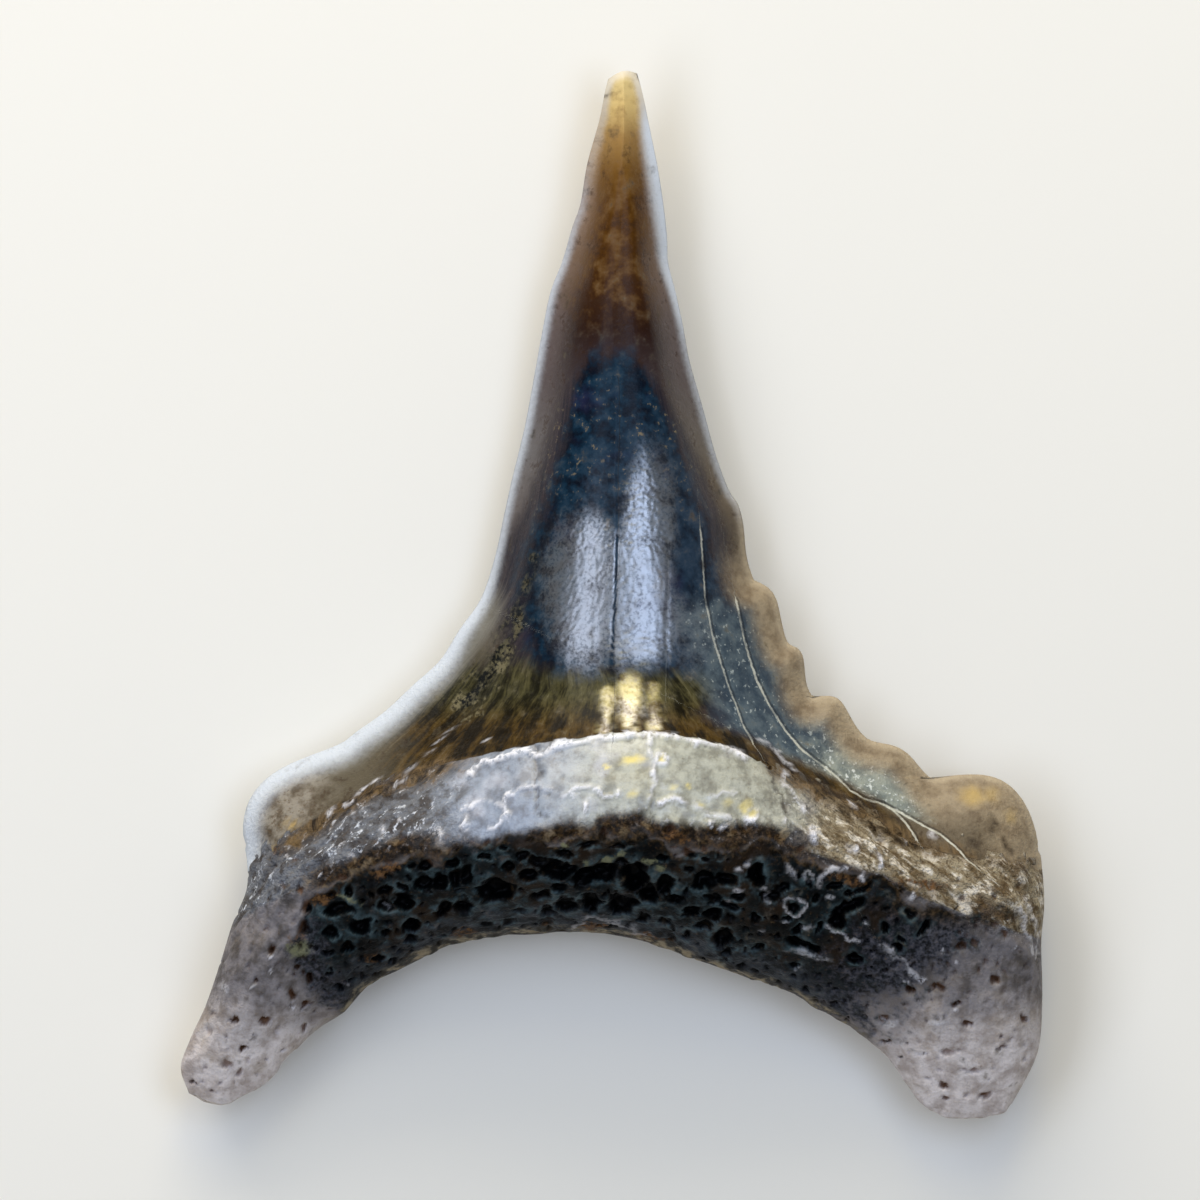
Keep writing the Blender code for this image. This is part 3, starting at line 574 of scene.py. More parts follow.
def place_row(lines, row, across):
    """The plan of one row at the shares across it, in pixels."""
    left, right = lines[:2]
    guides = list(zip((0, LEDGE, NECK, CUSPS_FROM), lines[2:]))
    share = across[:, None]
    if row < CUSPS_FROM:
        step = max(number for number in range(3) if guides[number][0] <= row)
        (low, lower), (high, upper) = guides[step : step + 2]
        up = (row - low) / (high - low)
        line = lower(across) * (1 - up) + upper(across) * up
        near, far = (1 - share) ** SIDE_PULL, share**SIDE_PULL
    else:
        near, far = 1 - share, share
        level = left(CUSPS_FROM) + (right(CUSPS_FROM) - left(CUSPS_FROM)) * share
        line = (lines[-1](across) - level) * graph(ROW_BOW)(row)
        line[:, 1] -= TIP_BOW * np.sin(np.pi * across) * ramp(row, TIP_FROM, 1)
    line = line + (left(row) - line[0]) * near + (right(row) - line[-1]) * far
    return line + bulges(row, (left, right), across)


def outline_sides(lines):
    """The left and the right side of the outline, with the heels and cusps on them, in pixels."""
    ends = np.array([0.0, 1.0])
    return np.array([place_row(lines, row, ends) for row in np.linspace(0, 1, SIDE_SAMPLES)])


def crown_front(place, gap, parting, above_neck):
    """The height of the front of the crown: a sharp blade, a round core and the rise to the neck."""
    x, y = place.T
    blade = graph(BLADE_RISE)(y) * (1 - np.exp(-gap / BLADE_EDGE))
    from_core = np.clip(np.abs(x - CORE_AT) / graph(CORE_WIDTH)(y), 0, 1)
    core = graph(CORE_RISE)(y) * (1 - from_core**CORE_FLAT) ** CORE_ROUND * ramp(gap, 0, CORE_FADE)
    rise = NECK_RISE * np.exp(-above_neck / NECK_REACH) * ramp(gap, 0, RISE_FADE)
    return parting + blade + core + rise


def front_heights(row, place, neck_place, gap, neck_gap):
    """The height of the front of one row above the surface the tooth lies on."""
    parting = graph(PARTING)(row)
    if row >= NECK:
        above = np.linalg.norm(place - neck_place, axis=1)
        return crown_front(place, gap, parting, above)
    round_side = np.sqrt(1 - (1 - np.clip(gap / ROOT_ROUND, 0, 1)) ** 2)
    ledge_top = LOBE_TOP + (LEDGE_TOP - LOBE_TOP) * np.exp(-((place[:, 0] / LEDGE_SPREAD) ** 2))
    ledge_rise = (ledge_top - parting) * graph(LOBE_TAPER)(place[:, 1])
    if row <= LEDGE:
        climb = (1 - (1 - row / LEDGE) ** FACE_CURL) ** FACE_LIFT
        return parting + ledge_rise * climb * round_side
    fall = ((row - LEDGE) / (NECK - LEDGE)) ** BAND_FALL
    neck_parting = graph(PARTING)(NECK)
    neck_rise = crown_front(neck_place, neck_gap, neck_parting, 0) - neck_parting
    return parting + ledge_rise * round_side * (1 - fall) + neck_rise * fall


def back_heights(row, place, gap):
    """The height of the back of one row. Its middle is flat, where the tooth rests."""
    parting = graph(PARTING)(row)
    y = place[:, 1]
    inward = np.clip(gap / graph(BACK_WIDTH)(y), 0, 1)
    round_share = 1 - ramp(row, NECK, CUSPS_FROM)
    fall = (1 - (1 - inward) ** 2) ** (1 - BACK_CURL * round_share)
    recess = BACK_RECESS * ramp(NECK - row, 0, RECESS_BELOW_NECK) * ramp(y, RECESS_FROM, RECESS_TO)
    lift = np.clip((y - LIFT_FROM) / (HEIGHT / 2 - LIFT_FROM), 0, 1) ** LIFT_CURL
    floor = TIP_LIFT * lift + recess
    return parting - fall * (parting - floor)


def rows_of_tooth():
    """Every row's number, with the steps across its front and its back."""
    face = [LEDGE * (step / FACE_ROWS) ** FACE_BUNCHING for step in range(1, FACE_ROWS + 1)]
    band = list(np.linspace(LEDGE, NECK, BAND_ROWS + 1)[1:])
    heel = list(np.linspace(NECK, CUSPS_FROM, HEEL_ROWS + 1)[1:])
    cusp = list(np.linspace(CUSPS_FROM, CUSPS_TO, CUSP_ROWS + 1)[1:])
    crown = list(np.linspace(CUSPS_TO, SHEEN_TO, SHEEN_ROWS + 1)[1:])
    crown += list(np.linspace(SHEEN_TO, TIP_FROM, CROWN_ROWS + 1)[1:])
    tip = list(np.linspace(TIP_FROM, 1, TIP_ROWS + 1)[1:-1])
    rows = [(0, ROOT_STEPS[0], ROOT_STEPS[0])]
    rows += [(row, *ROOT_STEPS) for row in face + band]
    rows += [(row, *CROWN_STEPS) for row in heel + cusp + crown]
    rows += [(row, 2 * TIP_STEPS, TIP_STEPS) for row in tip]
    return rows + [(1, TIP_STEPS, TIP_STEPS)]


def steps_across(count, row):
    """The shares of the way across a row where its places are."""
    step = np.linspace(0, 1, count + 1)
    finer = FINER_AT_ENDS + (FINER_IN_CROWN - FINER_AT_ENDS) * ramp(row, NECK, CUSPS_TO)
    return step - finer * np.sin(2 * np.pi * step) / (2 * np.pi)


def near(points):
    """A function that gives how far each place in plan is from the nearest of the points."""
    tree = kdtree.KDTree(len(points))
    for number, point in enumerate(points):
        tree.insert((*point, 0), number)
    tree.balance()
    return lambda places: np.array([tree.find((*place, 0))[2] for place in places])


# How many random numbers there are along each side of a pattern's table, before it repeats
LATTICE = 32


def mottle(spots, size, seed):
    """Smooth uneven values from 0 to 1 over the places. The size is that of one patch, in pixels."""
    table = np.random.default_rng(seed).random((LATTICE,) * 3)
    cell = np.floor(spots / size).astype(int)
    t = spots / size - cell
    t = t * t * (3 - 2 * t)
    value = np.zeros(len(spots))
    for corner in np.ndindex(2, 2, 2):
        weight = np.prod(np.where(corner, t, 1 - t), axis=1)
        value += weight * table[tuple(((cell + corner) % LATTICE).T)]
    return value


def rough(spots, size, seed):
    """Uneven values around 0, with three sizes of patches on each other."""
    return sum(
        (mottle(spots, size * share, seed + number) - 0.5) * share**0.8
        for number, share in enumerate((1, 0.5, 0.25))
    )


def turned(spots, degrees, stretch):
    """The places turned in plan and drawn together along the turned X, for streaks that run that way."""
    angle = np.radians(degrees)
    x, y, z = spots.T
    along = x * np.cos(angle) - y * np.sin(angle)
    over = y * np.cos(angle) + x * np.sin(angle)
    return np.stack([along / stretch, over, z], -1)


def spot_field(spots, marks, floor=0.0, lip=1.0):
    """How strongly oval marks cover each place. A mark is x, y, its half sizes, turn and strength."""
    x, y = spots[:, 0], spots[:, 1]
    field = np.zeros(len(spots))
    for at_x, at_y, wide, high, turn, strength in marks:
        reach = lip * max(wide, high)
        close = np.flatnonzero((np.abs(x - at_x) < reach) & (np.abs(y - at_y) < reach))
        across, up = x[close] - at_x, at_y - y[close]
        angle = np.radians(turn)
        along = (across * np.cos(angle) + up * np.sin(angle)) / wide
        over = (up * np.cos(angle) - across * np.sin(angle)) / high
        cover = strength * (1 - ramp(np.hypot(along, over), floor, lip))
        field[close] = np.maximum(field[close], cover)
    return field


def ring_field(spots, rings):
    """How strongly rings of crust cover each place."""
    field = np.zeros(len(spots))
    for at_x, at_y, radius, wide in rings:
        off = np.abs(np.hypot(spots[:, 0] - at_x, spots[:, 1] - at_y) - radius + wide / 2)
        field = np.maximum(field, 1 - ramp(off / wide, 0.2, 0.9))
    return field


def line_gap(spots, points):
    """How far each place is from a line in plan. It is below 0 on the line's left, going along it."""
    points = np.asarray(points, float)
    start, step = points[:-1], np.diff(points, axis=0)
    off = spots[:, None, :2] - start
    share = np.clip((off * step).sum(-1) / (step * step).sum(-1), 0, 1)
    gap = np.linalg.norm(off - share[..., None] * step, axis=-1)
    nearest = gap.argmin(1)
    pick = np.arange(len(spots))
    side = step[nearest, 0] * off[pick, nearest, 1] - step[nearest, 1] * off[pick, nearest, 0]
    return np.sign(side) * gap[pick, nearest]


def line_field(spots, lines):
    """How strongly the lines cover each place."""
    field = np.zeros(len(spots))
    for half, strength, points in lines:
        curve, _ = smooth_line(points, 4)
        low, high = curve.min(0) - 3 * half, curve.max(0) + 3 * half
        close = np.flatnonzero(((spots[:, :2] > low) & (spots[:, :2] < high)).all(1))
        gap = np.abs(line_gap(spots[close], curve))
        field[close] = np.maximum(field[close], strength * (1 - ramp(gap / half, 0.35, 1.3)))
    return field


def above(spots, line):
    """How far each place is above a line that runs from left to right, in pixels of the drawing."""
    curve, _ = smooth_line([point[:2] for point in line])
    return np.interp(spots[:, 0], curve[:, 0], curve[:, 1]) - spots[:, 1]


def between(value, span):
    """1 inside a span and 0 outside: it rises over the first two numbers and falls over the others."""
    rise, full, fall, end = span
    return ramp(value, rise, full) * (1 - ramp(value, fall, end))


def slanted(spots, edge):
    """0 on the left of a slanted edge of the drawing and 1 on its right."""
    x_part, y_part, low, high = edge
    return ramp(spots[:, 0] * x_part + spots[:, 1] * y_part, low, high)


def dark_share(spots):
    """1 on the dark porous face over the arch, falling to 0 towards the shoulders and the lobes."""
    under = ramp(-above(spots, DARK_FROM), *DARK_BELOW)
    return under * slanted(spots, DARK_LEFT_EDGE) * (1 - slanted(spots, DARK_RIGHT_EDGE))


def small_pores(rng):
    """More pores, strewn between the large ones over the dark face and thinly over the lobes."""
    pores = []
    taken = np.array([(pore[0], pore[1], max(pore[2], pore[3])) for pore in PORES])
    while len(pores) < SMALL_PORES:
        spot = np.array([rng.uniform(*STREWN_X), rng.uniform(*STREWN_Y), 0])
        size = rng.uniform(*SMALL_PORE_SIZE)
        room = taken[:, 2] + size * PORE_SPACING + PORE_WALL
        if np.any(np.hypot(*(taken[:, :2] - spot[:2]).T) < room):
            continue
        lobe_share = 1 - dark_share(spot[None])[0]
        over_arch = above(spot[None], ARCH_LINE)[0]
        if over_arch < STREWN_OVER_ARCH or rng.random() < lobe_share * THINNED_ON_LOBES:
            continue
        taken = np.append(taken, [(spot[0], spot[1], size)], axis=0)
        flat = rng.uniform(*SMALL_PORE_FLATNESS)
        deep = size * rng.uniform(*SMALL_PORE_DEPTH) * (1 - 0.5 * lobe_share)
        pores.append((spot[0], spot[1], size, size * flat, rng.uniform(*SMALL_PORE_TURN), deep))
    return pores


def tooth_grid():
    """The plan, in pixels, and the height, in millimetres, of every row's front and back."""
    lines = [marked_line(line) for line in
             (LEFT_SIDE, RIGHT_SIDE, ARCH_LINE, LEDGE_LINE, NECK_LINE, FOOT_LINE)]
    sides = on_tooth(outline_sides(lines)).reshape(-1, 2)
    arch = on_tooth(lines[2](np.linspace(0, 1, SIDE_SAMPLES)))
    side_gap = near(sides)
    any_gap = near(np.concatenate([sides, arch]))
    rows = []
    for row, front_steps, back_steps in rows_of_tooth():
        plan = place_row(lines, row, steps_across(front_steps, row))
        neck = on_tooth(place_row(lines, NECK, steps_across(front_steps, row)))
        place = on_tooth(plan)
        height = front_heights(row, place, neck, side_gap(place), side_gap(neck))
        back_plan = place_row(lines, row, steps_across(back_steps, row))[1:-1]
        back_place = on_tooth(back_plan)
        back = back_heights(row, back_place, any_gap(back_place))
        rows.append((row, plan, height, back_plan, back))
    return lines, rows


def strip_faces(lower, upper, facing_up):
    """Faces between two rows, where one may have a whole number of times the other's steps."""
    ratio_low = max(1, (len(lower) - 1) // (len(upper) - 1))
    ratio_up = max(1, (len(upper) - 1) // (len(lower) - 1))
    faces = []
    for step in range((len(lower) - 1) // ratio_low):
        ring = list(lower[step * ratio_low : (step + 1) * ratio_low + 1])
        ring += list(upper[step * ratio_up : (step + 1) * ratio_up + 1])[::-1]
        faces.append(ring if facing_up else ring[::-1])
    return faces


def loft(rows):
    """The base mesh: its places (plan in pixels, height in millimetres), rows, sides and faces."""
    spots, numbers, fronts, shares, faces = [], [], [], [], []
    previous = None
    count = 0
    for row, plan, height, back_plan, back in rows:
        front = np.arange(count, count + len(plan))
        count += len(plan)
        spots.append(np.column_stack([plan, height]))
        numbers.append(np.full(len(plan), row))
        fronts.append(np.ones(len(plan)))
        shares.append(steps_across(len(plan) - 1, row))
        behind = front
        if 0 < row < 1:
            behind = np.arange(count, count + len(back_plan))
            count += len(back_plan)
            spots.append(np.column_stack([back_plan, back]))
            numbers.append(np.full(len(back_plan), row))
            fronts.append(np.zeros(len(back_plan)))
            shares.append(steps_across(len(back_plan) + 1, row)[1:-1])
            behind = np.concatenate([front[:1], behind, front[-1:]])
        if previous:
            faces += strip_faces(previous[0], front, True)
            faces += strip_faces(previous[1], behind, False)
        previous = (front, behind)
    return *(np.concatenate(values) for values in (spots, numbers, fronts, shares)), faces


def in_pixels(spots):
    """The places with the height in pixels too, so that patterns are as large on every side."""
    return spots / (1, 1, SCALE)


def wavered(places, far, size, seed):
    """The places moved a little in plan, by uneven amounts, so that marks on them look natural."""
    moved = places.copy()
    for axis in (0, 1):
        moved[:, axis] += far * 2 * rough(places, size, seed + 10 * axis)
    return moved


def edge_line(lines):
    """The outline in pixels, over the heels, the cusps and the tip, without the arch."""
    tip = place_row(lines, 1, np.linspace(0, 1, TIP_STEPS))
    return np.concatenate([outline_sides(lines).reshape(-1, 2), tip])


class Surface:
    """The places of the tooth's mesh, and the measures by which its regions are told apart."""

    def __init__(self, spots, row, front, share, lines):
        self.spots, self.row, self.front, self.share = spots, row, front, share
        self.places = in_pixels(spots)
        self.x, self.y = self.places[:, 0], self.places[:, 1]
        self.edge = near(edge_line(lines))(self.places[:, :2])
        self.arch = near(lines[2](np.linspace(0, 1, SIDE_SAMPLES)))(self.places[:, :2])
        self.over_neck = above(self.places, NECK_LINE)
        self.over_band_foot = above(self.places, BAND_TO)
        self.over_dark = above(self.places, DARK_FROM)
        self.from_middle = self.x - graph(CORE_MIDDLE)(self.y)
        self.from_core = np.abs(self.from_middle) / graph(CORE_HALF)(self.y)
        self.left = self.from_middle < 0
        self.crack_gaps = {
            name: np.clip(line_gap(self.places, line), -CRACK_FAR, CRACK_FAR)
            for name, line, *_ in CRACKS
        }


def root_relief(at):
    """How far the root's surface stands out, in millimetres, and the fields that shape it."""
    places, row = at.places, at.row
    waved = wavered(places, *PORE_WAVER)
    root = ramp(NECK + ROOT_PAST_NECK - row, 0, ROOT_FADE) * at.front
    dark = dark_share(wavered(places, *DARK_WAVER))
    large = [(*pore[:4], pore[5], pore[4]) for pore in PORES]
    small = small_pores(np.random.default_rng(SMALL_PORE_SEED))
    depth = np.maximum(spot_field(waved, large, PORE_FLOOR, PORE_LIP),
                       spot_field(waved, small, SMALL_PORE_FLOOR, SMALL_PORE_LIP))
    pale = np.maximum(line_field(waved, PALE_LINES), spot_field(waved, PALE_SPOTS, 0.3))
    pale = np.maximum(pale, ring_field(waved, PALE_RINGS))
    pale *= ramp(mottle(places, 10, 84), 0.0, 0.55) * (1 - 0.58 * dark)
    creases = np.maximum(line_field(waved, DARK_LINES), spot_field(waved, DARK_SPOTS, 0.3))
    margin = between(at.over_band_foot, CRUST_ABOVE) * (1 - dark)
    shoulder = np.maximum(1 - ramp(at.x, *RAISED_LEFT_END_X), ramp(at.x, *RAISED_RIGHT_X)) * (1 - dark)
    left_fibres = rough(turned(places, 34, 5), 10, 40)
    right_fibres = rough(turned(places, -37, 4), 16, 50)
    fibres = np.where(at.x < HALFWAY, left_fibres, right_fibres) * ramp(row, *SHOULDER_ROWS)
    band = (1 - shoulder) * (1 - dark) * ramp(at.over_band_foot, *BAND_ABOVE)
    drips = rough(turned(places, 90, 3.5), 11, 30) * (1 - ramp(at.over_band_foot, *DRIPS_ABOVE))
    lobe = (1 - dark) * (1 - ramp(row, *RAISED_LOBE_ROWS))
    # Each is a height in millimetres over a region, mostly with a pattern of its own size and seed
    stands_out = (
        0.07 * dark * rough(places, 16, 1)
        + 0.09 * margin * rough(places, 12, 5)
        + 0.05 * band * rough(places, 40, 9)
        + 0.006 * band * rough(places, 11, 20)
        + 0.02 * band * drips
        + 0.12 * shoulder * fibres
        + 0.09 * lobe * rough(places, 44, 13)
        + 0.02 * lobe * rough(places, 9, 17)
        + 0.04 * pale
        - 0.035 * creases
    )
    return root * stands_out, root * depth, dark, pale, creases


def crown_relief(at):
    """How far the enamel stands out, in millimetres: ridges at its foot, cracks and fine pebbles."""
    places = at.places
    enamel = ramp(at.row - NECK, *ENAMEL_FADE) * at.front
    foot = between(at.y, RIDGES_Y) * between(at.x, RIDGES_X)
    ridges = rough(turned(places, 88, 14), 7, 60) * (0.002 + 0.02 * foot)
    flaked = line_field(wavered(places, *FLAKE_WAVER), FLAKED)
    ridges -= 0.03 * flaked * mottle(places, 9, 62)
    grooves = sum(1 - ramp(np.abs(gap), 0.4, 2) for gap in at.crack_gaps.values())
    sheen = spot_field(places, SHEEN, 0.9, 1.5)
    pebbles = (0.08 + 0.92 * sheen) * (mottle(places, 2.3, 90) + 0.35 * mottle(places, 4, 91) - 0.675)
    return enamel * (ridges + 0.006 * rough(places, 60, 66) - 0.006 * grooves + PEBBLE * pebbles)


def back_relief(at):
    """The back is only a little uneven, and its flat resting place stays flat."""
    root = 1 - ramp(at.row, NECK - 0.05, NECK)
    lift = ramp(at.spots[:, 2], *BACK_EVEN_BELOW) * (1 - at.front)
    return lift * (root * (0.07 * rough(at.places, 30, 70) + 0.02 * rough(at.places, 8, 74))
                   + 0.008 * rough(turned(at.places, 88, 8), 10, 78))


def pale_rim_and_painted_glow(at):
    """The pale edge of the crown, partly paler enamel and partly painted glow and highlight: wider down
    the left side, and on the right under the tip.
    """
    y = at.y
    left_wide, left_wider, left_end = RIM_LEFT
    right_wide, right_wider, right_end = RIM_RIGHT
    wide = np.where(at.left, left_wide + left_wider * ramp(y, *RIM_WIDER_Y),
                    right_wide + right_wider * between(y, RIM_BULGE_Y))
    rim = 1 - ramp(at.edge / wide, 0, np.where(at.left, left_end, right_end))
    strong_left = ramp(y, *RIM_LEFT_Y) * (0.68 + 0.32 * ramp(y, *RIM_STRONGER_Y))
    strong_right = ramp(y, *RIM_RIGHT_Y) * (1 - 0.45 * ramp(y, *RIM_WEAKER_Y))
    return rim * np.where(at.left, strong_left, strong_right)


def enamel_fields(at, waved):
    """The regions of the crown, and where it is polished."""
    x, y, edge = at.x, at.y, at.edge
    foot = ramp(y, *FOOT_Y) * (1 - ramp(at.from_core, *FOOT_FROM_MIDDLE))
    foot *= 1 - slanted(at.places, FOOT_EDGE) * ramp(at.over_neck, *FOOT_OVER_NECK)
    cusp_from, cusp_to = CUSP_FROM_EDGE
    cusp_to = cusp_to + CUSP_DEEPER * ramp(x, *CUSP_DEEPER_X)
    blue = slanted(at.places, BLUE_EDGE) * ramp(y, *BLUE_Y)
    blue *= (1 - ramp(x, *BLUE_END_X)) * ramp(at.over_neck, *BLUE_OVER_NECK)
    cracked_core = 1 - ramp(np.abs(at.crack_gaps["core_crack"]), 0.4, 2.1)
    whole = 1 - cracked_core * ramp(mottle(at.places, 14, 97), -0.1, 0.4)
    return {
        "core": (1 - ramp(at.from_core, *CORE_FROM_MIDDLE)) * between(y, CORE_Y),
        "dusk": (1 - ramp(at.from_core, *DUSK_FROM_MIDDLE)) * ramp(y, *DUSK_Y),
        "foot": foot,
        "rim": pale_rim_and_painted_glow(at),
        "flank": (1 - ramp(edge, *FLANK_FROM_EDGE)) * ramp(y, *FLANK_Y) * at.left,
        "cusp": (1 - ramp(edge, cusp_from, cusp_to)) * ramp(y, *CUSP_Y) * ~at.left,
        "blue": blue,
        "misty": slanted(at.places, MISTY_EDGE),
        "heel": (1 - ramp(x, *HEEL_END_X)) * ramp(y, *HEEL_Y),
        "flaked": line_field(waved, FLAKED),
        "polish": spot_field(waved, SHEEN, 0.5, 1.25) * whole,
        "glint": line_field(waved, GLINTS),
    }


def neck_stain(at):
    """A stain along the neck, on the left and the right of it."""
    left = between(at.x, STAIN_LEFT_X)
    right = ramp(at.x, *STAIN_RIGHT_X) * (1 - 0.5 * ramp(at.x, *STAIN_WEAKER_X))
    off = np.where(at.over_neck > 0, at.over_neck / STAIN_OVER_NECK, -at.over_neck / STAIN_UNDER_NECK)
    return np.where(at.x < HALFWAY, left, right) * 0.8 * (1 - ramp(off, 0, 1))


def brown_margin(at):
    """The brown margin under the band's foot, and the belt between the shoulders and the dark face."""
    x = at.x
    margin = between(at.over_band_foot, MARGIN_ABOVE) * between(x, MARGIN_X)
    belt = BELT_WIDE - BELT_NARROWER * ramp(x, *BELT_NARROWER_X)
    margin = np.maximum(margin, 0.9 * (1 - ramp(np.abs(at.over_dark - belt / 2), belt / 4, belt)))
    return margin * (ramp(x, *BELT_X) * (1 - 0.25 * ramp(x, *BELT_NARROWER_X))
                     * (1 - 0.6 * ramp(x, *BELT_WEAKER_X)))


def bone_fields(at, waved, depth, dark, pale, creases):
    """The regions and marks of the root and its neck band."""
    x = at.x
    # Painted highlights on the lips of the pores, where their rims would catch the light
    pore_highlight_marks = [(*pore[:4], pore[5], 1) for pore in PORES]
    painted_pore_highlights = spot_field(wavered(at.places, *PORE_WAVER), pore_highlight_marks, 1.0, 2.0)
    shoulder_right = ramp(x, *TAN_X)
    band = ramp(at.over_band_foot, *BAND_COLOUR_ABOVE) * ramp(x, *BAND_X) * (1 - shoulder_right)
    return {
        "band": band * (1 - dark), "tan": shoulder_right * (1 - dark),
        "margin": brown_margin(at) * (1 - dark), "dark": dark,
        "beige": (1 - ramp(at.arch, *BEIGE_FROM_ARCH)) * between(x, BEIGE_X),
        "pale": pale, "crease": creases, "stain": neck_stain(at),
        # Painted golden highlights on the band, where it would mirror a warm light
        "painted_gold_highlight": spot_field(waved, PAINTED_GOLD_HIGHLIGHTS, 0.2), "ochre": spot_field(waved, OCHRE_SPOTS, 0.2, 1.2),
        # The lips around the pores are painted highlights on their rims
        "olive": spot_field(waved, OLIVE_SPOTS, 0.3, 1.1), "lip": painted_pore_highlights * (1 - ramp(depth, 0.01, 0.04)),
        "ivory": ramp(x, *IVORY_X), "under": ramp(-at.over_dark, *DUSKY_BELOW),
        "lobe": 1 - ramp(at.row, *LOBE_ROWS), "lobe_end": ramp(at.y, *LOBE_END_Y),
        "low": 1 - ramp(at.arch, *LOW_FROM_ARCH), "pit": ramp(depth, 0.015, 0.1),
    }  # fmt: skip


def surface_fields(at, depth, dark, pale, creases):
    """What each place of the tooth is made of, and where highlights and glow are painted, as named values
    for the material.
    """
    waved = wavered(at.places, *MARK_WAVER)
    on_front = enamel_fields(at, waved) | bone_fields(at, waved, depth, dark, pale, creases)
    fields = {name: value * at.front for name, value in on_front.items()}
    beside = 1 - ramp(at.x, *RAGGED_LEFT_END_X) + ramp(at.x, *RAGGED_RIGHT_X)
    ragged = rough(turned(at.places, 60, 2), 12, 95) * (RAGGED + RAGGED_BESIDE * beside)
    front_crown = ramp(at.over_neck + ragged, *NECK_EDGE)
    fields["crown"] = np.where(at.front > 0, front_crown, ramp(at.row, *BACK_NECK_ROWS))
    back = 1 - at.front
    fields["core"] += back * on_front["core"] * 0.8
    fields["rim"] += back * on_front["rim"]
    fields["dark"] += back * 0.12 * (1 - fields["crown"])
    fields["lobe"] += back * on_front["lobe"]
    fields["lobe_end"] += back * on_front["lobe_end"]
    fields["inner"] = ramp(at.edge / (INNER_EDGE + INNER_WIDER * ramp(at.y, *INNER_WIDER_Y)), 0.1, 1)
    fields["height"] = at.y / HEIGHT_UNIT
    fields["right"] = ramp(at.from_middle, *RIGHT_OF_MIDDLE)
    for name, gap in at.crack_gaps.items():
        fields[name] = np.where(at.front > 0, gap, CRACK_FAR)
    return fields


def streak_places(at, crown):
    """The places that the streaks are drawn by: up the rows on the crown, slanted on the root."""
    slant = np.where((at.x < HALFWAY)[:, None], turned(at.places, 54, 3), turned(at.places, -40, 3))
    up_rows, over_row = CROWN_GRAIN
    along = np.column_stack([at.row * up_rows, at.share * over_row, at.front * over_row])
    return np.where((crown > 0.5)[:, None], along, slant)


def fossil_tooth():
    """The tooth as one fine mesh, in metres, with its fields."""
    lines, rows = tooth_grid()
    spots, row, front, share, faces = loft(rows)
    at = Surface(spots, row, front, share, lines)
    corners = np.column_stack([on_tooth(at.spots[:, :2]), at.spots[:, 2]]) * MM
    mesh = bpy.data.meshes.new("fossil_tooth")
    mesh.from_pydata(corners, [], faces)
    mesh.update()
    facing = np.empty(len(corners) * 3, np.float32)
    mesh.vertex_normals.foreach_get("vector", facing)
    facing = facing.reshape(-1, 3)
    out, depth, dark, pale, creases = root_relief(at)
    out += crown_relief(at) + back_relief(at)
    out = out * np.where(at.front > 0, ramp(at.edge, *RELIEF_FROM_EDGE), 1)
    corners = corners + facing * out[:, None] * MM
    inward = facing * PORE_SLANT + (0, 0, 1 - PORE_SLANT)
    corners -= inward * (depth * PORE_DEPTH)[:, None] * MM
    corners[:, 2] = np.maximum(corners[:, 2], 0)
    mesh.vertices.foreach_set("co", corners.ravel())
    fields = surface_fields(at, depth, dark, pale, creases)
    for name, values in fields.items():
        layer = mesh.attributes.new(name, "FLOAT", "POINT")
        layer.data.foreach_set("value", np.asarray(values, np.float32))
    grain = streak_places(at, fields["crown"])
    layer = mesh.attributes.new("grain", "FLOAT_VECTOR", "POINT")
    layer.data.foreach_set("vector", np.asarray(grain, np.float32).ravel())
    mesh.shade_smooth()
    mesh.update()
    tooth = bpy.data.objects.new("fossil_tooth", mesh)
    bpy.context.scene.collection.objects.link(tooth)
    return tooth


def linear(*colour):
    """A colour as it is seen, each part from 0 to 255, in the linear values of a shader."""
    parts = [part / 255 for part in colour]
    return (*(p / 12.92 if p < 0.04045 else ((p + 0.055) / 1.055) ** 2.4 for p in parts), 1)


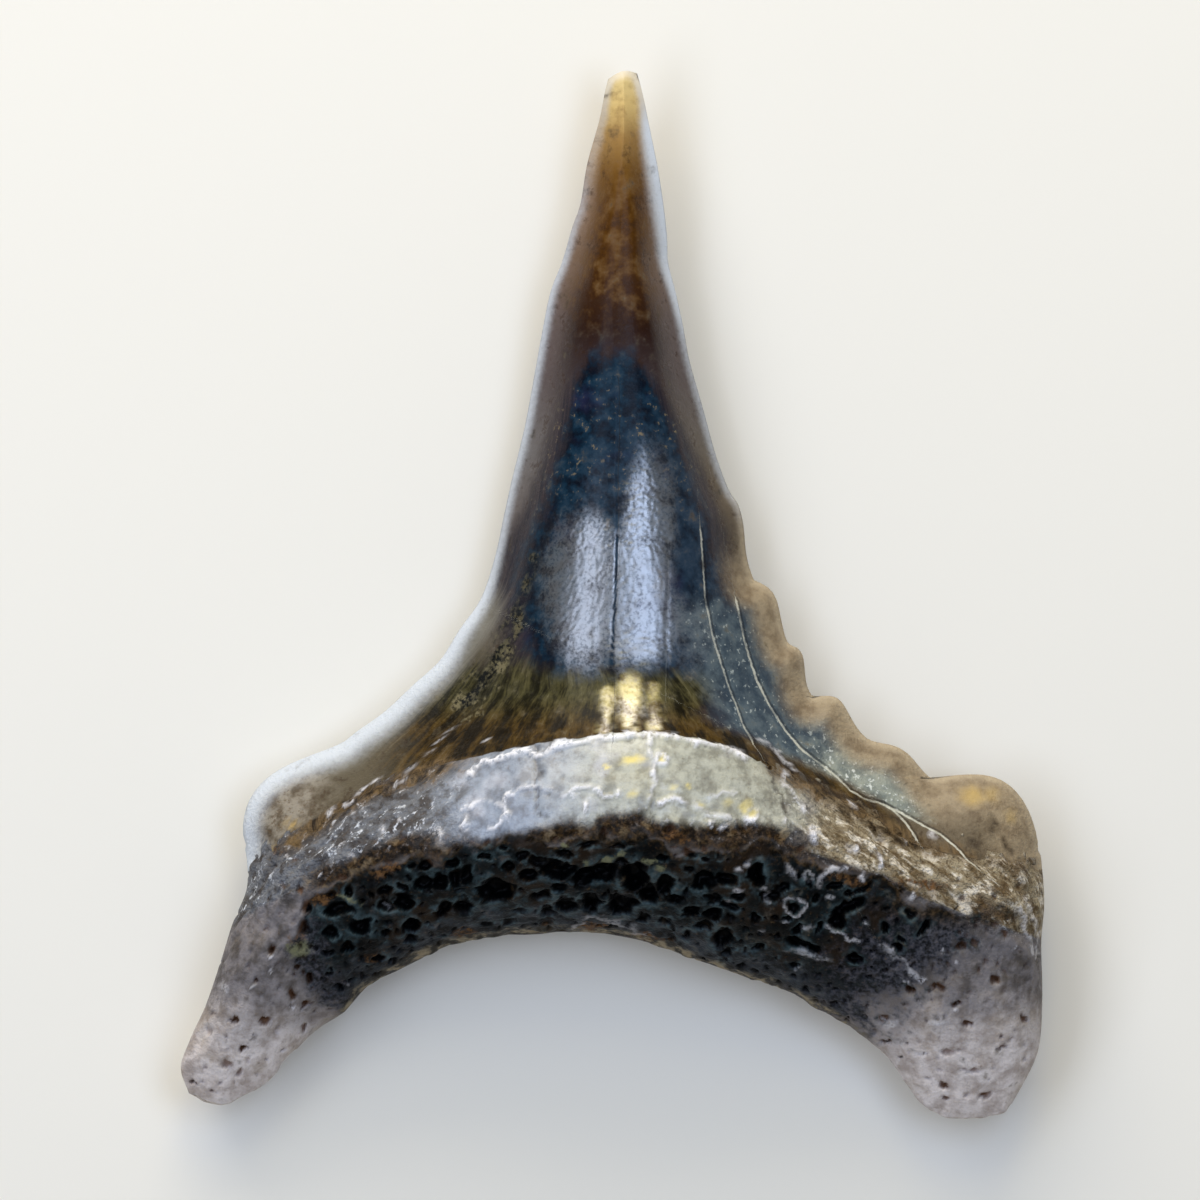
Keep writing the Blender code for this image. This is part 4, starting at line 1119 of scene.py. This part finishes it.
class Recipe:
    """Nodes of one tree, added in the order in which they are used."""

    def __init__(self, tree):
        self.tree = tree

    def put(self, socket, value):
        if isinstance(value, bpy.types.NodeSocket):
            self.tree.links.new(value, socket)
        else:
            socket.default_value = value

    def field(self, name, output="Fac"):
        node = self.tree.nodes.new("ShaderNodeAttribute")
        node.attribute_name = name
        return node.outputs[output]

    def number(self, operation, *values):
        node = self.tree.nodes.new("ShaderNodeMath")
        node.operation = operation
        for socket, value in zip(node.inputs, values):
            self.put(socket, value)
        return node.outputs[0]

    def times(self, first, *others):
        """All the values multiplied with each other."""
        for other in others:
            first = self.number("MULTIPLY", first, other)
        return first

    def uneven(self, value, wear, amount):
        """The value, raised and lowered by an uneven pattern."""
        return self.number("MULTIPLY_ADD", self.number("SUBTRACT", wear, 0.5), amount, value)

    def spread(self, value, low, high, to_low=0.0, to_high=1.0):
        node = self.tree.nodes.new("ShaderNodeMapRange")
        node.interpolation_type = "SMOOTHSTEP"
        for socket, number in zip(node.inputs, (value, low, high, to_low, to_high)):
            self.put(socket, number)
        return node.outputs[0]

    def noise(self, place, size, detail=3.0, roughness=0.6):
        node = self.tree.nodes.new("ShaderNodeTexNoise")
        self.put(node.inputs["Vector"], place)
        node.inputs["Scale"].default_value = 1 / size
        node.inputs["Detail"].default_value = detail
        node.inputs["Roughness"].default_value = roughness
        return node.outputs["Fac"]

    def mix(self, below, over, amount):
        node = self.tree.nodes.new("ShaderNodeMix")
        node.data_type = "RGBA"
        self.put(node.inputs["Factor"], amount)
        self.put(node.inputs["A"], below)
        self.put(node.inputs["B"], over)
        return node.outputs["Result"]

    def colours(self, value, stops):
        node = self.tree.nodes.new("ShaderNodeValToRGB")
        self.put(node.inputs[0], value)
        ramp_stops = node.color_ramp.elements
        while len(ramp_stops) < len(stops):
            ramp_stops.new(0.5)
        for stop, (at, colour) in zip(ramp_stops, stops):
            stop.position = at
            stop.color = linear(*colour)
        return node.outputs[0]

    def layer(self, below, over, mask, wear, ragged=0.5, soft=0.18):
        """A colour laid over another where its mask is, with an edge that wears unevenly."""
        worn = self.uneven(mask, wear, ragged)
        return self.mix(below, over, self.spread(worn, 0.5 - soft, 0.5 + soft))


def patterns(recipe):
    """The uneven patterns that all the layers share, by name. Sizes are in pixels of the drawing."""
    place = recipe.tree.nodes.new("ShaderNodeTexCoord").outputs["Object"]
    scale = recipe.tree.nodes.new("ShaderNodeVectorMath")
    scale.operation = "SCALE"
    recipe.put(scale.inputs[0], place)
    scale.inputs["Scale"].default_value = 1 / (SCALE * MM)
    spot = scale.outputs[0]
    grain = recipe.field("grain", "Vector")
    return {
        "fine": recipe.noise(spot, 5),
        "middle": recipe.noise(spot, 18),
        "wide": recipe.noise(spot, 60),
        "streak": recipe.noise(grain, 9, 4.0, 0.7),
        "hair": recipe.noise(grain, 3.5, 2.0),
        "grit": recipe.noise(spot, 3.2, 1.0),
    }


def lobe_bone(recipe, grained):
    """Grey bone that pales towards the ends of the lobes."""
    middle, wide = grained["middle"], grained["wide"]
    lobe = recipe.mix(linear(76, 71, 68), linear(126, 121, 122), recipe.spread(middle, 0.3, 0.7))
    lobe_end = recipe.mix(linear(164, 152, 144), linear(214, 205, 200), recipe.spread(middle, 0.3, 0.66))
    lobe = recipe.layer(lobe, lobe_end, recipe.field("lobe_end"), wide, 0.8, 0.5)
    return recipe.mix(lobe, linear(150, 136, 116), recipe.spread(wide, 0.5, 0.75, 0, 0.4))


def brushed_fibre(recipe, grained):
    """The grey, brushed bone of the left shoulder, with brown streaks and pale flakes."""
    fine, middle, streak = (grained[name] for name in ("fine", "middle", "streak"))
    fibre = recipe.mix(linear(70, 66, 64), linear(110, 112, 116), recipe.spread(middle, 0.36, 0.6))
    fibre = recipe.mix(fibre, linear(80, 64, 46), recipe.spread(streak, 0.4, 0.3, 0, 0.6))
    flakes = recipe.times(recipe.spread(streak, 0.5, 0.62), recipe.spread(fine, 0.48, 0.62))
    return recipe.mix(fibre, linear(204, 208, 214), flakes)


def tan_shoulder(recipe, grained):
    """The tan right shoulder, with brown patches and pale flecks."""
    fine, middle, wide, streak = (grained[name] for name in ("fine", "middle", "wide", "streak"))
    tan = recipe.mix(linear(92, 76, 52), linear(146, 134, 110), recipe.spread(streak, 0.34, 0.58))
    tan = recipe.mix(tan, linear(74, 56, 34), recipe.spread(wide, 0.48, 0.36, 0, 0.75))
    tan = recipe.mix(tan, linear(64, 48, 30), recipe.spread(fine, 0.44, 0.34, 0, 0.6))
    flecks = recipe.times(recipe.spread(middle, 0.46, 0.58), recipe.spread(streak, 0.46, 0.6))
    return recipe.mix(tan, linear(212, 203, 186), flecks)


def porous_face(recipe, colour, grained):
    """The dark face of the root laid over the colour: a dusky border, then nearly black bone."""
    fine, middle, wide = (grained[name] for name in ("fine", "middle", "wide"))
    rusty = recipe.mix(linear(15, 10, 4), linear(58, 45, 28), recipe.spread(fine, 0.36, 0.66))
    dusky = recipe.mix(linear(20, 20, 22), linear(72, 73, 80), recipe.spread(fine, 0.35, 0.68))
    dusky = recipe.mix(rusty, dusky, recipe.field("under"))
    bone = recipe.mix(linear(1, 2, 3), linear(14, 22, 24), recipe.spread(middle, 0.35, 0.65))
    bone = recipe.mix(bone, linear(34, 23, 12), recipe.spread(wide, 0.5, 0.64, 0, 0.8))
    low = recipe.mix(linear(10, 12, 13), linear(54, 58, 62), recipe.spread(middle, 0.32, 0.68))
    bone = recipe.layer(bone, low, recipe.field("low"), middle, 0.9, 0.4)
    dark = recipe.uneven(recipe.field("dark"), middle, 1.1)
    colour = recipe.mix(colour, dusky, recipe.spread(dark, 0.1, 0.5))
    colour = recipe.mix(colour, bone, recipe.spread(dark, 0.4, 0.85))
    # Painted highlights on the lips of the pores of the dark face
    painted_pore_highlights = recipe.times(recipe.field("lip"), recipe.spread(middle, 0.4, 0.64, 0.05, 0.8))
    return recipe.mix(colour, linear(70, 88, 92), recipe.times(painted_pore_highlights, recipe.field("dark")))


def neck_band(recipe, grained):
    """The pale band under the enamel: cool on the left, ivory on the right, with white patches."""
    middle, wide = grained["middle"], grained["wide"]
    cool = recipe.mix(linear(106, 110, 118), linear(138, 146, 158), recipe.spread(middle, 0.34, 0.6))
    ivory = recipe.mix(linear(138, 136, 121), linear(178, 177, 160), recipe.spread(middle, 0.34, 0.6))
    band = recipe.layer(cool, ivory, recipe.field("ivory"), wide, 1.0, 0.5)
    return recipe.mix(band, linear(196, 198, 208), recipe.spread(wide, 0.52, 0.66, 0, 0.45))


def root_colour(recipe, grained):
    """The root from its lobes to the neck: grey bone, tan shoulders, the dark face and the band."""
    fine, middle = grained["fine"], grained["middle"]
    lobe, fibre, tan = (part(recipe, grained) for part in (lobe_bone, brushed_fibre, tan_shoulder))
    colour = recipe.layer(fibre, lobe, recipe.field("lobe"), middle, 0.6)
    off_lobe = recipe.spread(recipe.field("lobe"), 0.2, 0.7, 1, 0)
    colour = recipe.layer(colour, tan, recipe.times(recipe.field("tan"), off_lobe), middle, 1.2, 0.25)
    brown = recipe.mix(linear(22, 14, 6), linear(64, 47, 26), recipe.spread(fine, 0.38, 0.66))
    brown = recipe.mix(brown, linear(118, 100, 74), recipe.spread(middle, 0.52, 0.68, 0, 0.8))
    colour = recipe.layer(colour, brown, recipe.field("margin"), middle, 1.3, 0.5)
    colour = porous_face(recipe, colour, grained)
    band = neck_band(recipe, grained)
    colour = recipe.layer(colour, band, recipe.field("band"), middle, 0.9, 0.45)
    edging = recipe.times(recipe.field("beige"), recipe.spread(middle, 0.44, 0.6, 0.1, 0.9))
    colour = recipe.mix(colour, linear(150, 136, 108), edging)
    rust = recipe.mix(linear(42, 28, 16), linear(96, 68, 40), recipe.spread(fine, 0.38, 0.62))
    colour = recipe.layer(colour, rust, recipe.field("ochre"), fine, 1.5, 0.45)
    colour = recipe.layer(colour, linear(104, 104, 78), recipe.field("olive"), fine, 1.2, 0.35)
    pit = recipe.mix(linear(112, 82, 60), linear(2, 3, 4), recipe.spread(recipe.field("dark"), 0.1, 0.6))
    return recipe.mix(colour, pit, recipe.field("pit"))


# The colours of the crown down its middle and near its edges, by the height in the drawing in
# thousands of pixels
MIDDLE_COLOURS = (
    (0.07, (214, 192, 134)), (0.105, (200, 172, 112)), (0.14, (144, 112, 64)), (0.17, (104, 72, 28)),
    (0.2, (76, 46, 6)), (0.25, (66, 38, 4)), (0.29, (52, 28, 8)), (0.33, (34, 16, 10)),
    (0.38, (54, 44, 44)), (0.45, (62, 54, 54)), (0.6, (82, 76, 68)), (0.7, (84, 76, 60)),
)  # fmt: skip
EDGE_COLOURS = (
    (0.07, (222, 212, 190)), (0.11, (182, 168, 146)), (0.15, (164, 144, 120)), (0.2, (128, 106, 88)),
    (0.26, (110, 90, 74)), (0.32, (96, 84, 80)), (0.38, (86, 76, 74)), (0.45, (102, 98, 96)),
    (0.52, (96, 88, 84)), (0.6, (102, 98, 92)), (0.7, (120, 114, 98)),
)  # fmt: skip


def clear_enamel(recipe, grained, height, right):
    """The enamel from the amber tip down, darker in its middle than near its edges."""
    fine, middle = grained["fine"], grained["middle"]
    inner = recipe.uneven(recipe.field("inner"), middle, 0.7)
    colour = recipe.mix(recipe.colours(height, EDGE_COLOURS), recipe.colours(height, MIDDLE_COLOURS),
                        recipe.spread(inner, 0.0, 1.0))
    colour = recipe.mix(colour, linear(94, 82, 64), recipe.times(right, 0.8))
    amber = recipe.times(recipe.spread(middle, 0.42, 0.7), recipe.spread(height, 0.35, 0.28, 0, 0.5))
    colour = recipe.mix(colour, linear(118, 86, 44), recipe.times(amber, recipe.field("inner")))
    mottled = recipe.times(recipe.spread(middle, 0.5, 0.34), recipe.spread(height, 0.1, 0.18, 0, 0.6),
                           recipe.spread(fine, 0.62, 0.4))
    return recipe.mix(colour, linear(48, 30, 16), mottled)


def brown_foot(recipe, grained, height):
    """The streaked foot of the crown: olive above, umber below."""
    middle, streak, hair = (grained[name] for name in ("middle", "streak", "hair"))
    blotchy = recipe.uneven(streak, middle, 0.5)
    olive = recipe.mix(linear(26, 24, 12), linear(74, 69, 42), recipe.spread(blotchy, 0.36, 0.64))
    umber = recipe.mix(linear(20, 12, 0), linear(72, 53, 16), recipe.spread(blotchy, 0.36, 0.66))
    foot = recipe.mix(olive, umber, recipe.spread(height, 0.69, 0.73))
    foot = recipe.mix(foot, linear(122, 114, 86), recipe.spread(streak, 0.58, 0.7, 0, 0.3))
    return recipe.mix(foot, linear(10, 8, 4), recipe.spread(hair, 0.56, 0.7, 0, 0.5))


def blue_black_core(recipe, grained, right):
    """The dark core, more slate on its right side."""
    middle, wide = grained["middle"], grained["wide"]
    core = recipe.mix(linear(2, 9, 22), linear(10, 40, 58), recipe.spread(middle, 0.35, 0.65))
    slate = recipe.times(right, recipe.spread(middle, 0.3, 0.7, 0.2, 0.8))
    core = recipe.mix(core, linear(44, 58, 74), slate)
    return recipe.mix(core, linear(34, 36, 64), recipe.spread(wide, 0.5, 0.75, 0, 0.6))


def slate_side(recipe, grained):
    """The slate-blue side of the crown's foot, mistier towards the cusped heel."""
    fine, middle = grained["fine"], grained["middle"]
    slate = recipe.mix(linear(54, 66, 76), linear(80, 92, 98), recipe.spread(middle, 0.36, 0.64))
    slate = recipe.mix(slate, linear(168, 176, 172), recipe.spread(fine, 0.6, 0.68, 0, 0.6))
    mist = recipe.mix(linear(110, 116, 110), linear(142, 146, 134), recipe.spread(middle, 0.36, 0.64))
    mist = recipe.mix(mist, linear(206, 210, 202), recipe.spread(fine, 0.56, 0.66, 0, 0.85))
    return recipe.layer(slate, mist, recipe.field("misty"), middle, 0.8, 0.5)


def flaked_strip(recipe, grained, height):
    """Dark flakes, some of them gilt low down."""
    fine, middle = grained["fine"], grained["middle"]
    flakes = recipe.mix(linear(12, 14, 14), linear(74, 69, 52), recipe.spread(fine, 0.42, 0.62))
    gilt = recipe.times(recipe.spread(middle, 0.5, 0.6), recipe.spread(fine, 0.4, 0.56),
                        recipe.spread(height, 0.6, 0.68))
    return recipe.mix(flakes, linear(108, 100, 74), gilt)


def enamel_colour(recipe, grained):
    """The crown: an amber tip, grey sides, the blue-black core, a brown foot and pale edges with painted
    glow.
    """
    fine, middle, streak = (grained[name] for name in ("fine", "middle", "streak"))
    height = recipe.field("height")
    right = recipe.times(recipe.field("right"), recipe.spread(height, 0.36, 0.5))
    colour = clear_enamel(recipe, grained, height, right)
    dusk = recipe.mix(linear(34, 31, 38), linear(56, 48, 50), recipe.spread(streak, 0.36, 0.7))
    colour = recipe.layer(colour, dusk, recipe.field("dusk"), middle, 0.8, 0.5)
    foot = brown_foot(recipe, grained, height)
    colour = recipe.layer(colour, foot, recipe.field("foot"), middle, 0.9, 0.4)
    core = blue_black_core(recipe, grained, right)
    colour = recipe.layer(colour, core, recipe.field("core"), middle, 0.9, 0.36)
    slate = slate_side(recipe, grained)
    colour = recipe.layer(colour, slate, recipe.field("blue"), middle, 0.8, 0.45)
    specks = recipe.times(recipe.spread(fine, 0.6, 0.68), recipe.spread(middle, 0.44, 0.58),
                          recipe.spread(height, 0.56, 0.42), recipe.spread(height, 0.35, 0.42, 0, 0.8),
                          recipe.field("dusk"))
    colour = recipe.mix(colour, linear(116, 102, 76), specks)
    side = recipe.mix(linear(92, 87, 76), linear(124, 121, 112), middle)
    colour = recipe.layer(colour, side, recipe.field("flank"), streak, 0.8, 0.4)
    heel = recipe.mix(linear(80, 68, 52), linear(134, 126, 112), recipe.spread(middle, 0.34, 0.62))
    heel = recipe.mix(heel, linear(82, 64, 46), recipe.spread(fine, 0.44, 0.34, 0, 0.6))
    colour = recipe.layer(colour, heel, recipe.field("heel"), middle, 0.8, 0.5)
    cusp = recipe.mix(linear(118, 102, 80), linear(150, 134, 108), recipe.spread(middle, 0.3, 0.66))
    colour = recipe.layer(colour, cusp, recipe.field("cusp"), fine, 0.4, 0.5)
    flakes = flaked_strip(recipe, grained, height)
    colour = recipe.layer(colour, flakes, recipe.field("flaked"), middle, 1.8, 0.3)
    colour = recipe.mix(colour, linear(178, 150, 90), recipe.times(recipe.field("ochre"), 0.8))
    # The rim's colour: paler enamel with a painted glow and highlight along the thin edge, cream on the
    # right
    cream = recipe.times(recipe.field("right"), recipe.spread(height, 0.48, 0.54))
    rim = recipe.mix(linear(196, 201, 206), linear(188, 172, 144), cream)
    return recipe.layer(colour, rim, recipe.field("rim"), fine, 0.25, 0.5)


def cracked(recipe, colour, grained):
    """Hairline cracks, each a dark line with a pale one beside it."""
    for name, _, half, pale in CRACKS:
        waver = recipe.number("MULTIPLY_ADD", grained["fine"], 2.4, recipe.field(name))
        off = recipe.number("ABSOLUTE", recipe.number("SUBTRACT", waver, 1.2))
        lit = recipe.times(recipe.spread(off, half * 0.6, half * 1.7, pale, 0),
                           recipe.spread(grained["middle"], 0.3, 0.6, 0.25, 1))
        beside = recipe.number("ABSOLUTE", recipe.number("SUBTRACT", waver, -half * 1.2))
        dark = recipe.spread(beside, half * 0.5, half * 1.6, 0.5, 0)
        colour = recipe.mix(colour, linear(20, 18, 16), dark)
        colour = recipe.mix(colour, linear(196, 194, 178), lit)
    return colour


def marked(recipe, colour, grained):
    """The neck's stain, creases, painted golden highlights, pale crust and cracks, over bone and enamel
    alike.
    """
    fine, middle = grained["fine"], grained["middle"]
    stain = recipe.mix(linear(30, 20, 8), linear(104, 84, 56), recipe.spread(grained["streak"], 0.36, 0.6))
    colour = recipe.layer(colour, stain, recipe.field("stain"), middle, 1.6, 0.35)
    crease = recipe.times(recipe.field("crease"), recipe.spread(fine, 0.3, 0.55, 0.3, 0.9))
    colour = recipe.mix(colour, linear(40, 29, 19), crease)
    # Painted golden highlights on the band, where it would mirror a warm light
    colour = recipe.mix(colour, linear(226, 206, 120), recipe.field("painted_gold_highlight"))
    # The glints' gold is a painted highlight, under the polish that mirrors the warm light
    painted_gold_highlight = recipe.mix(linear(130, 104, 44), linear(240, 218, 130), recipe.spread(middle, 0.36, 0.6))
    colour = recipe.mix(colour, painted_gold_highlight, recipe.times(recipe.field("glint"), 0.7))
    pale = recipe.times(recipe.field("pale"), recipe.spread(fine, 0.34, 0.52, 0.25, 1))
    colour = recipe.mix(colour, linear(228, 226, 228), pale)
    return cracked(recipe, colour, grained)


# The finish. The coat is the polish of the enamel and, weaker, the gloss of bone and neck band, and
# a roughness changes between its two values with the patterns
SPECULAR = 0.05
COAT_ROUGHNESS = 0.32
COAT_IOR = 3.0
BONE_COAT = 0.012
BAND_COAT = 0.2
ENAMEL_COAT = 0.014
BONE_ROUGHNESS = (0.42, 0.62)
ENAMEL_ROUGHNESS = (0.26, 0.36)
# The height of the bump in millimetres, and the share of it that is left on smoother regions
BUMP = 0.05
BUMP_ON_LOBES = 0.35
BUMP_ON_CROWN = 0.4
BUMP_ON_BAND = 0.25


def polish(recipe, grained, crown):
    """How much clear coat there is: all of it where the enamel is polished, and little elsewhere."""
    polished = recipe.number("MAXIMUM", recipe.field("polish"), recipe.field("glint"))
    worn = recipe.times(polished, recipe.spread(grained["middle"], 0.3, 0.5, 0.6, 1),
                        recipe.spread(grained["grit"], 0.3, 0.6, 0.6, 1))
    enamel = recipe.spread(worn, 0.0, 1.0, ENAMEL_COAT, 1)
    bone = recipe.number("MULTIPLY_ADD", recipe.field("band"), BAND_COAT, BONE_COAT)
    return recipe.number("MULTIPLY_ADD", recipe.number("SUBTRACT", enamel, bone), crown, bone)


def fine_relief(recipe, grained, crown):
    """The height of the bump: grainy bone, smoother lobes, enamel and neck band."""
    relief = recipe.number("MULTIPLY_ADD", grained["hair"], 0.1, grained["fine"])
    relief = recipe.number("MULTIPLY_ADD", grained["grit"], 0.7, relief)
    return recipe.times(relief, recipe.spread(recipe.field("lobe"), 0.2, 0.8, 1, BUMP_ON_LOBES),
                        recipe.spread(crown, 0, 1, 1, BUMP_ON_CROWN),
                        recipe.spread(recipe.field("band"), 0.2, 1, 1, BUMP_ON_BAND))


def fossil_enamel():
    """One material for the whole tooth: glossy enamel on the crown, duller bone on the root."""
    material = bpy.data.materials.new("fossil_enamel")
    material.use_nodes = True
    recipe = Recipe(material.node_tree)
    shader = recipe.tree.nodes["Principled BSDF"]
    grained = patterns(recipe)
    crown = recipe.spread(recipe.field("crown"), 0.35, 0.65)
    colour = recipe.mix(root_colour(recipe, grained), enamel_colour(recipe, grained), crown)
    recipe.put(shader.inputs["Base Color"], marked(recipe, colour, grained))
    shader.inputs["Specular IOR Level"].default_value = SPECULAR
    recipe.put(shader.inputs["Coat Weight"], polish(recipe, grained, crown))
    shader.inputs["Coat Roughness"].default_value = COAT_ROUGHNESS
    shader.inputs["Coat IOR"].default_value = COAT_IOR
    roughness = recipe.tree.nodes.new("ShaderNodeMix")
    recipe.put(roughness.inputs["Factor"], crown)
    recipe.put(roughness.inputs["A"], recipe.spread(grained["fine"], 0.3, 0.7, *BONE_ROUGHNESS))
    recipe.put(roughness.inputs["B"], recipe.spread(grained["middle"], 0.3, 0.7, *ENAMEL_ROUGHNESS))
    recipe.put(shader.inputs["Roughness"], roughness.outputs["Result"])
    bump = recipe.tree.nodes.new("ShaderNodeBump")
    bump.inputs["Distance"].default_value = BUMP * MM
    bump.inputs["Strength"].default_value = 1.0
    recipe.put(bump.inputs["Height"], fine_relief(recipe, grained, crown))
    recipe.put(shader.inputs["Normal"], bump.outputs["Normal"])
    return material


# The photograph's frame, in pixels, and how far away the camera is, in millimetres
FRAME = 1200
CAMERA_AWAY = 160
SENSOR = 36


def camera():
    """A camera that looks straight down on the tooth, with the photograph's frame around it."""
    data = bpy.data.cameras.new("camera")
    above_tooth = bpy.data.objects.new("camera", data)
    bpy.context.scene.collection.objects.link(above_tooth)
    x, y = on_tooth((FRAME / 2, FRAME / 2))
    above_tooth.location = (x * MM, y * MM, (CAMERA_AWAY + graph(PARTING)(NECK)) * MM)
    data.sensor_width = SENSOR
    data.lens = SENSOR * CAMERA_AWAY / (FRAME * SCALE)
    data.clip_start = 1 * MM
    bpy.context.scene.camera = above_tooth


# The softboxes: the lean of a surface that mirrors each upwards, how far away it is and its size in
# millimetres, how strongly it glows, and its colour
SOFTBOXES = (
    ("left_box", (-0.28, 0.06), 80, (104, 34), 3.1, (0.68, 0.78, 1)),
    ("right_box", (0.16, 0.06), 80, (50, 32), 4.5, (0.57, 0.71, 1)),
    ("key_box", (-0.12, 0.62), 95, (90, 50), 5.0, (1, 0.94, 0.85)),
    ("front_box", (0.0, -0.8), 90, (110, 14), 1.2, (1, 0.97, 0.9)),
    ("warm_box", (0.04, 0.38), 80, (24, 30), 3.5, (1, 0.83, 0.32)),
    ("top_box", (0.0, 0.85), 90, (90, 24), 1.6, (1, 0.98, 0.95)),
)
# The pale paper under the tooth, half as wide as this in metres, and the light from all around
PAPER_HALF = 0.4
PAPER_COLOUR = (0.8, 0.765, 0.68, 1)
PAPER_ROUGHNESS = 0.7
ROOM_COLOUR = (1, 0.96, 0.88, 1)
ROOM_STRENGTH = 0.24


def softbox(name, lean, away, size, glow, colour):
    """An area light that points at the tooth. Seen from above, a surface with this lean mirrors it."""
    light = bpy.data.lights.new(name, "AREA")
    light.shape = "RECTANGLE"
    light.size, light.size_y = (side * MM for side in size)
    light.energy = glow * np.pi * light.size * light.size_y
    light.color = colour
    lamp = bpy.data.objects.new(name, light)
    bpy.context.scene.collection.objects.link(lamp)
    facing = Vector((*lean, 1)).normalized()
    way = 2 * facing.z * facing - Vector((0, 0, 1))
    lamp.rotation_euler = way.to_track_quat("Z", "Y").to_euler()
    lamp.location = way * away * MM


def studio():
    """The paper that the tooth lies on, the softboxes and the light of the room."""
    floor = bpy.data.meshes.new("floor")
    corners = [(x * PAPER_HALF, y * PAPER_HALF, 0) for x, y in ((-1, -1), (1, -1), (1, 1), (-1, 1))]
    floor.from_pydata(corners, [], [(0, 1, 2, 3)])
    ground = bpy.data.objects.new("floor", floor)
    bpy.context.scene.collection.objects.link(ground)
    paper = bpy.data.materials.new("pale_paper")
    paper.use_nodes = True
    shader = paper.node_tree.nodes["Principled BSDF"]
    shader.inputs["Base Color"].default_value = PAPER_COLOUR
    shader.inputs["Roughness"].default_value = PAPER_ROUGHNESS
    floor.materials.append(paper)
    for box in SOFTBOXES:
        softbox(*box)
    world = bpy.data.worlds.new("studio")
    world.use_nodes = True
    room = world.node_tree.nodes["Background"].inputs
    room["Color"].default_value = ROOM_COLOUR
    room["Strength"].default_value = ROOM_STRENGTH
    bpy.context.scene.world = world
    bpy.context.scene.view_settings.view_transform = "Standard"


tooth = fossil_tooth()
tooth.data.materials.append(fossil_enamel())
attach(tooth, "root")
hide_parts("shark_tooth")
camera()
studio()
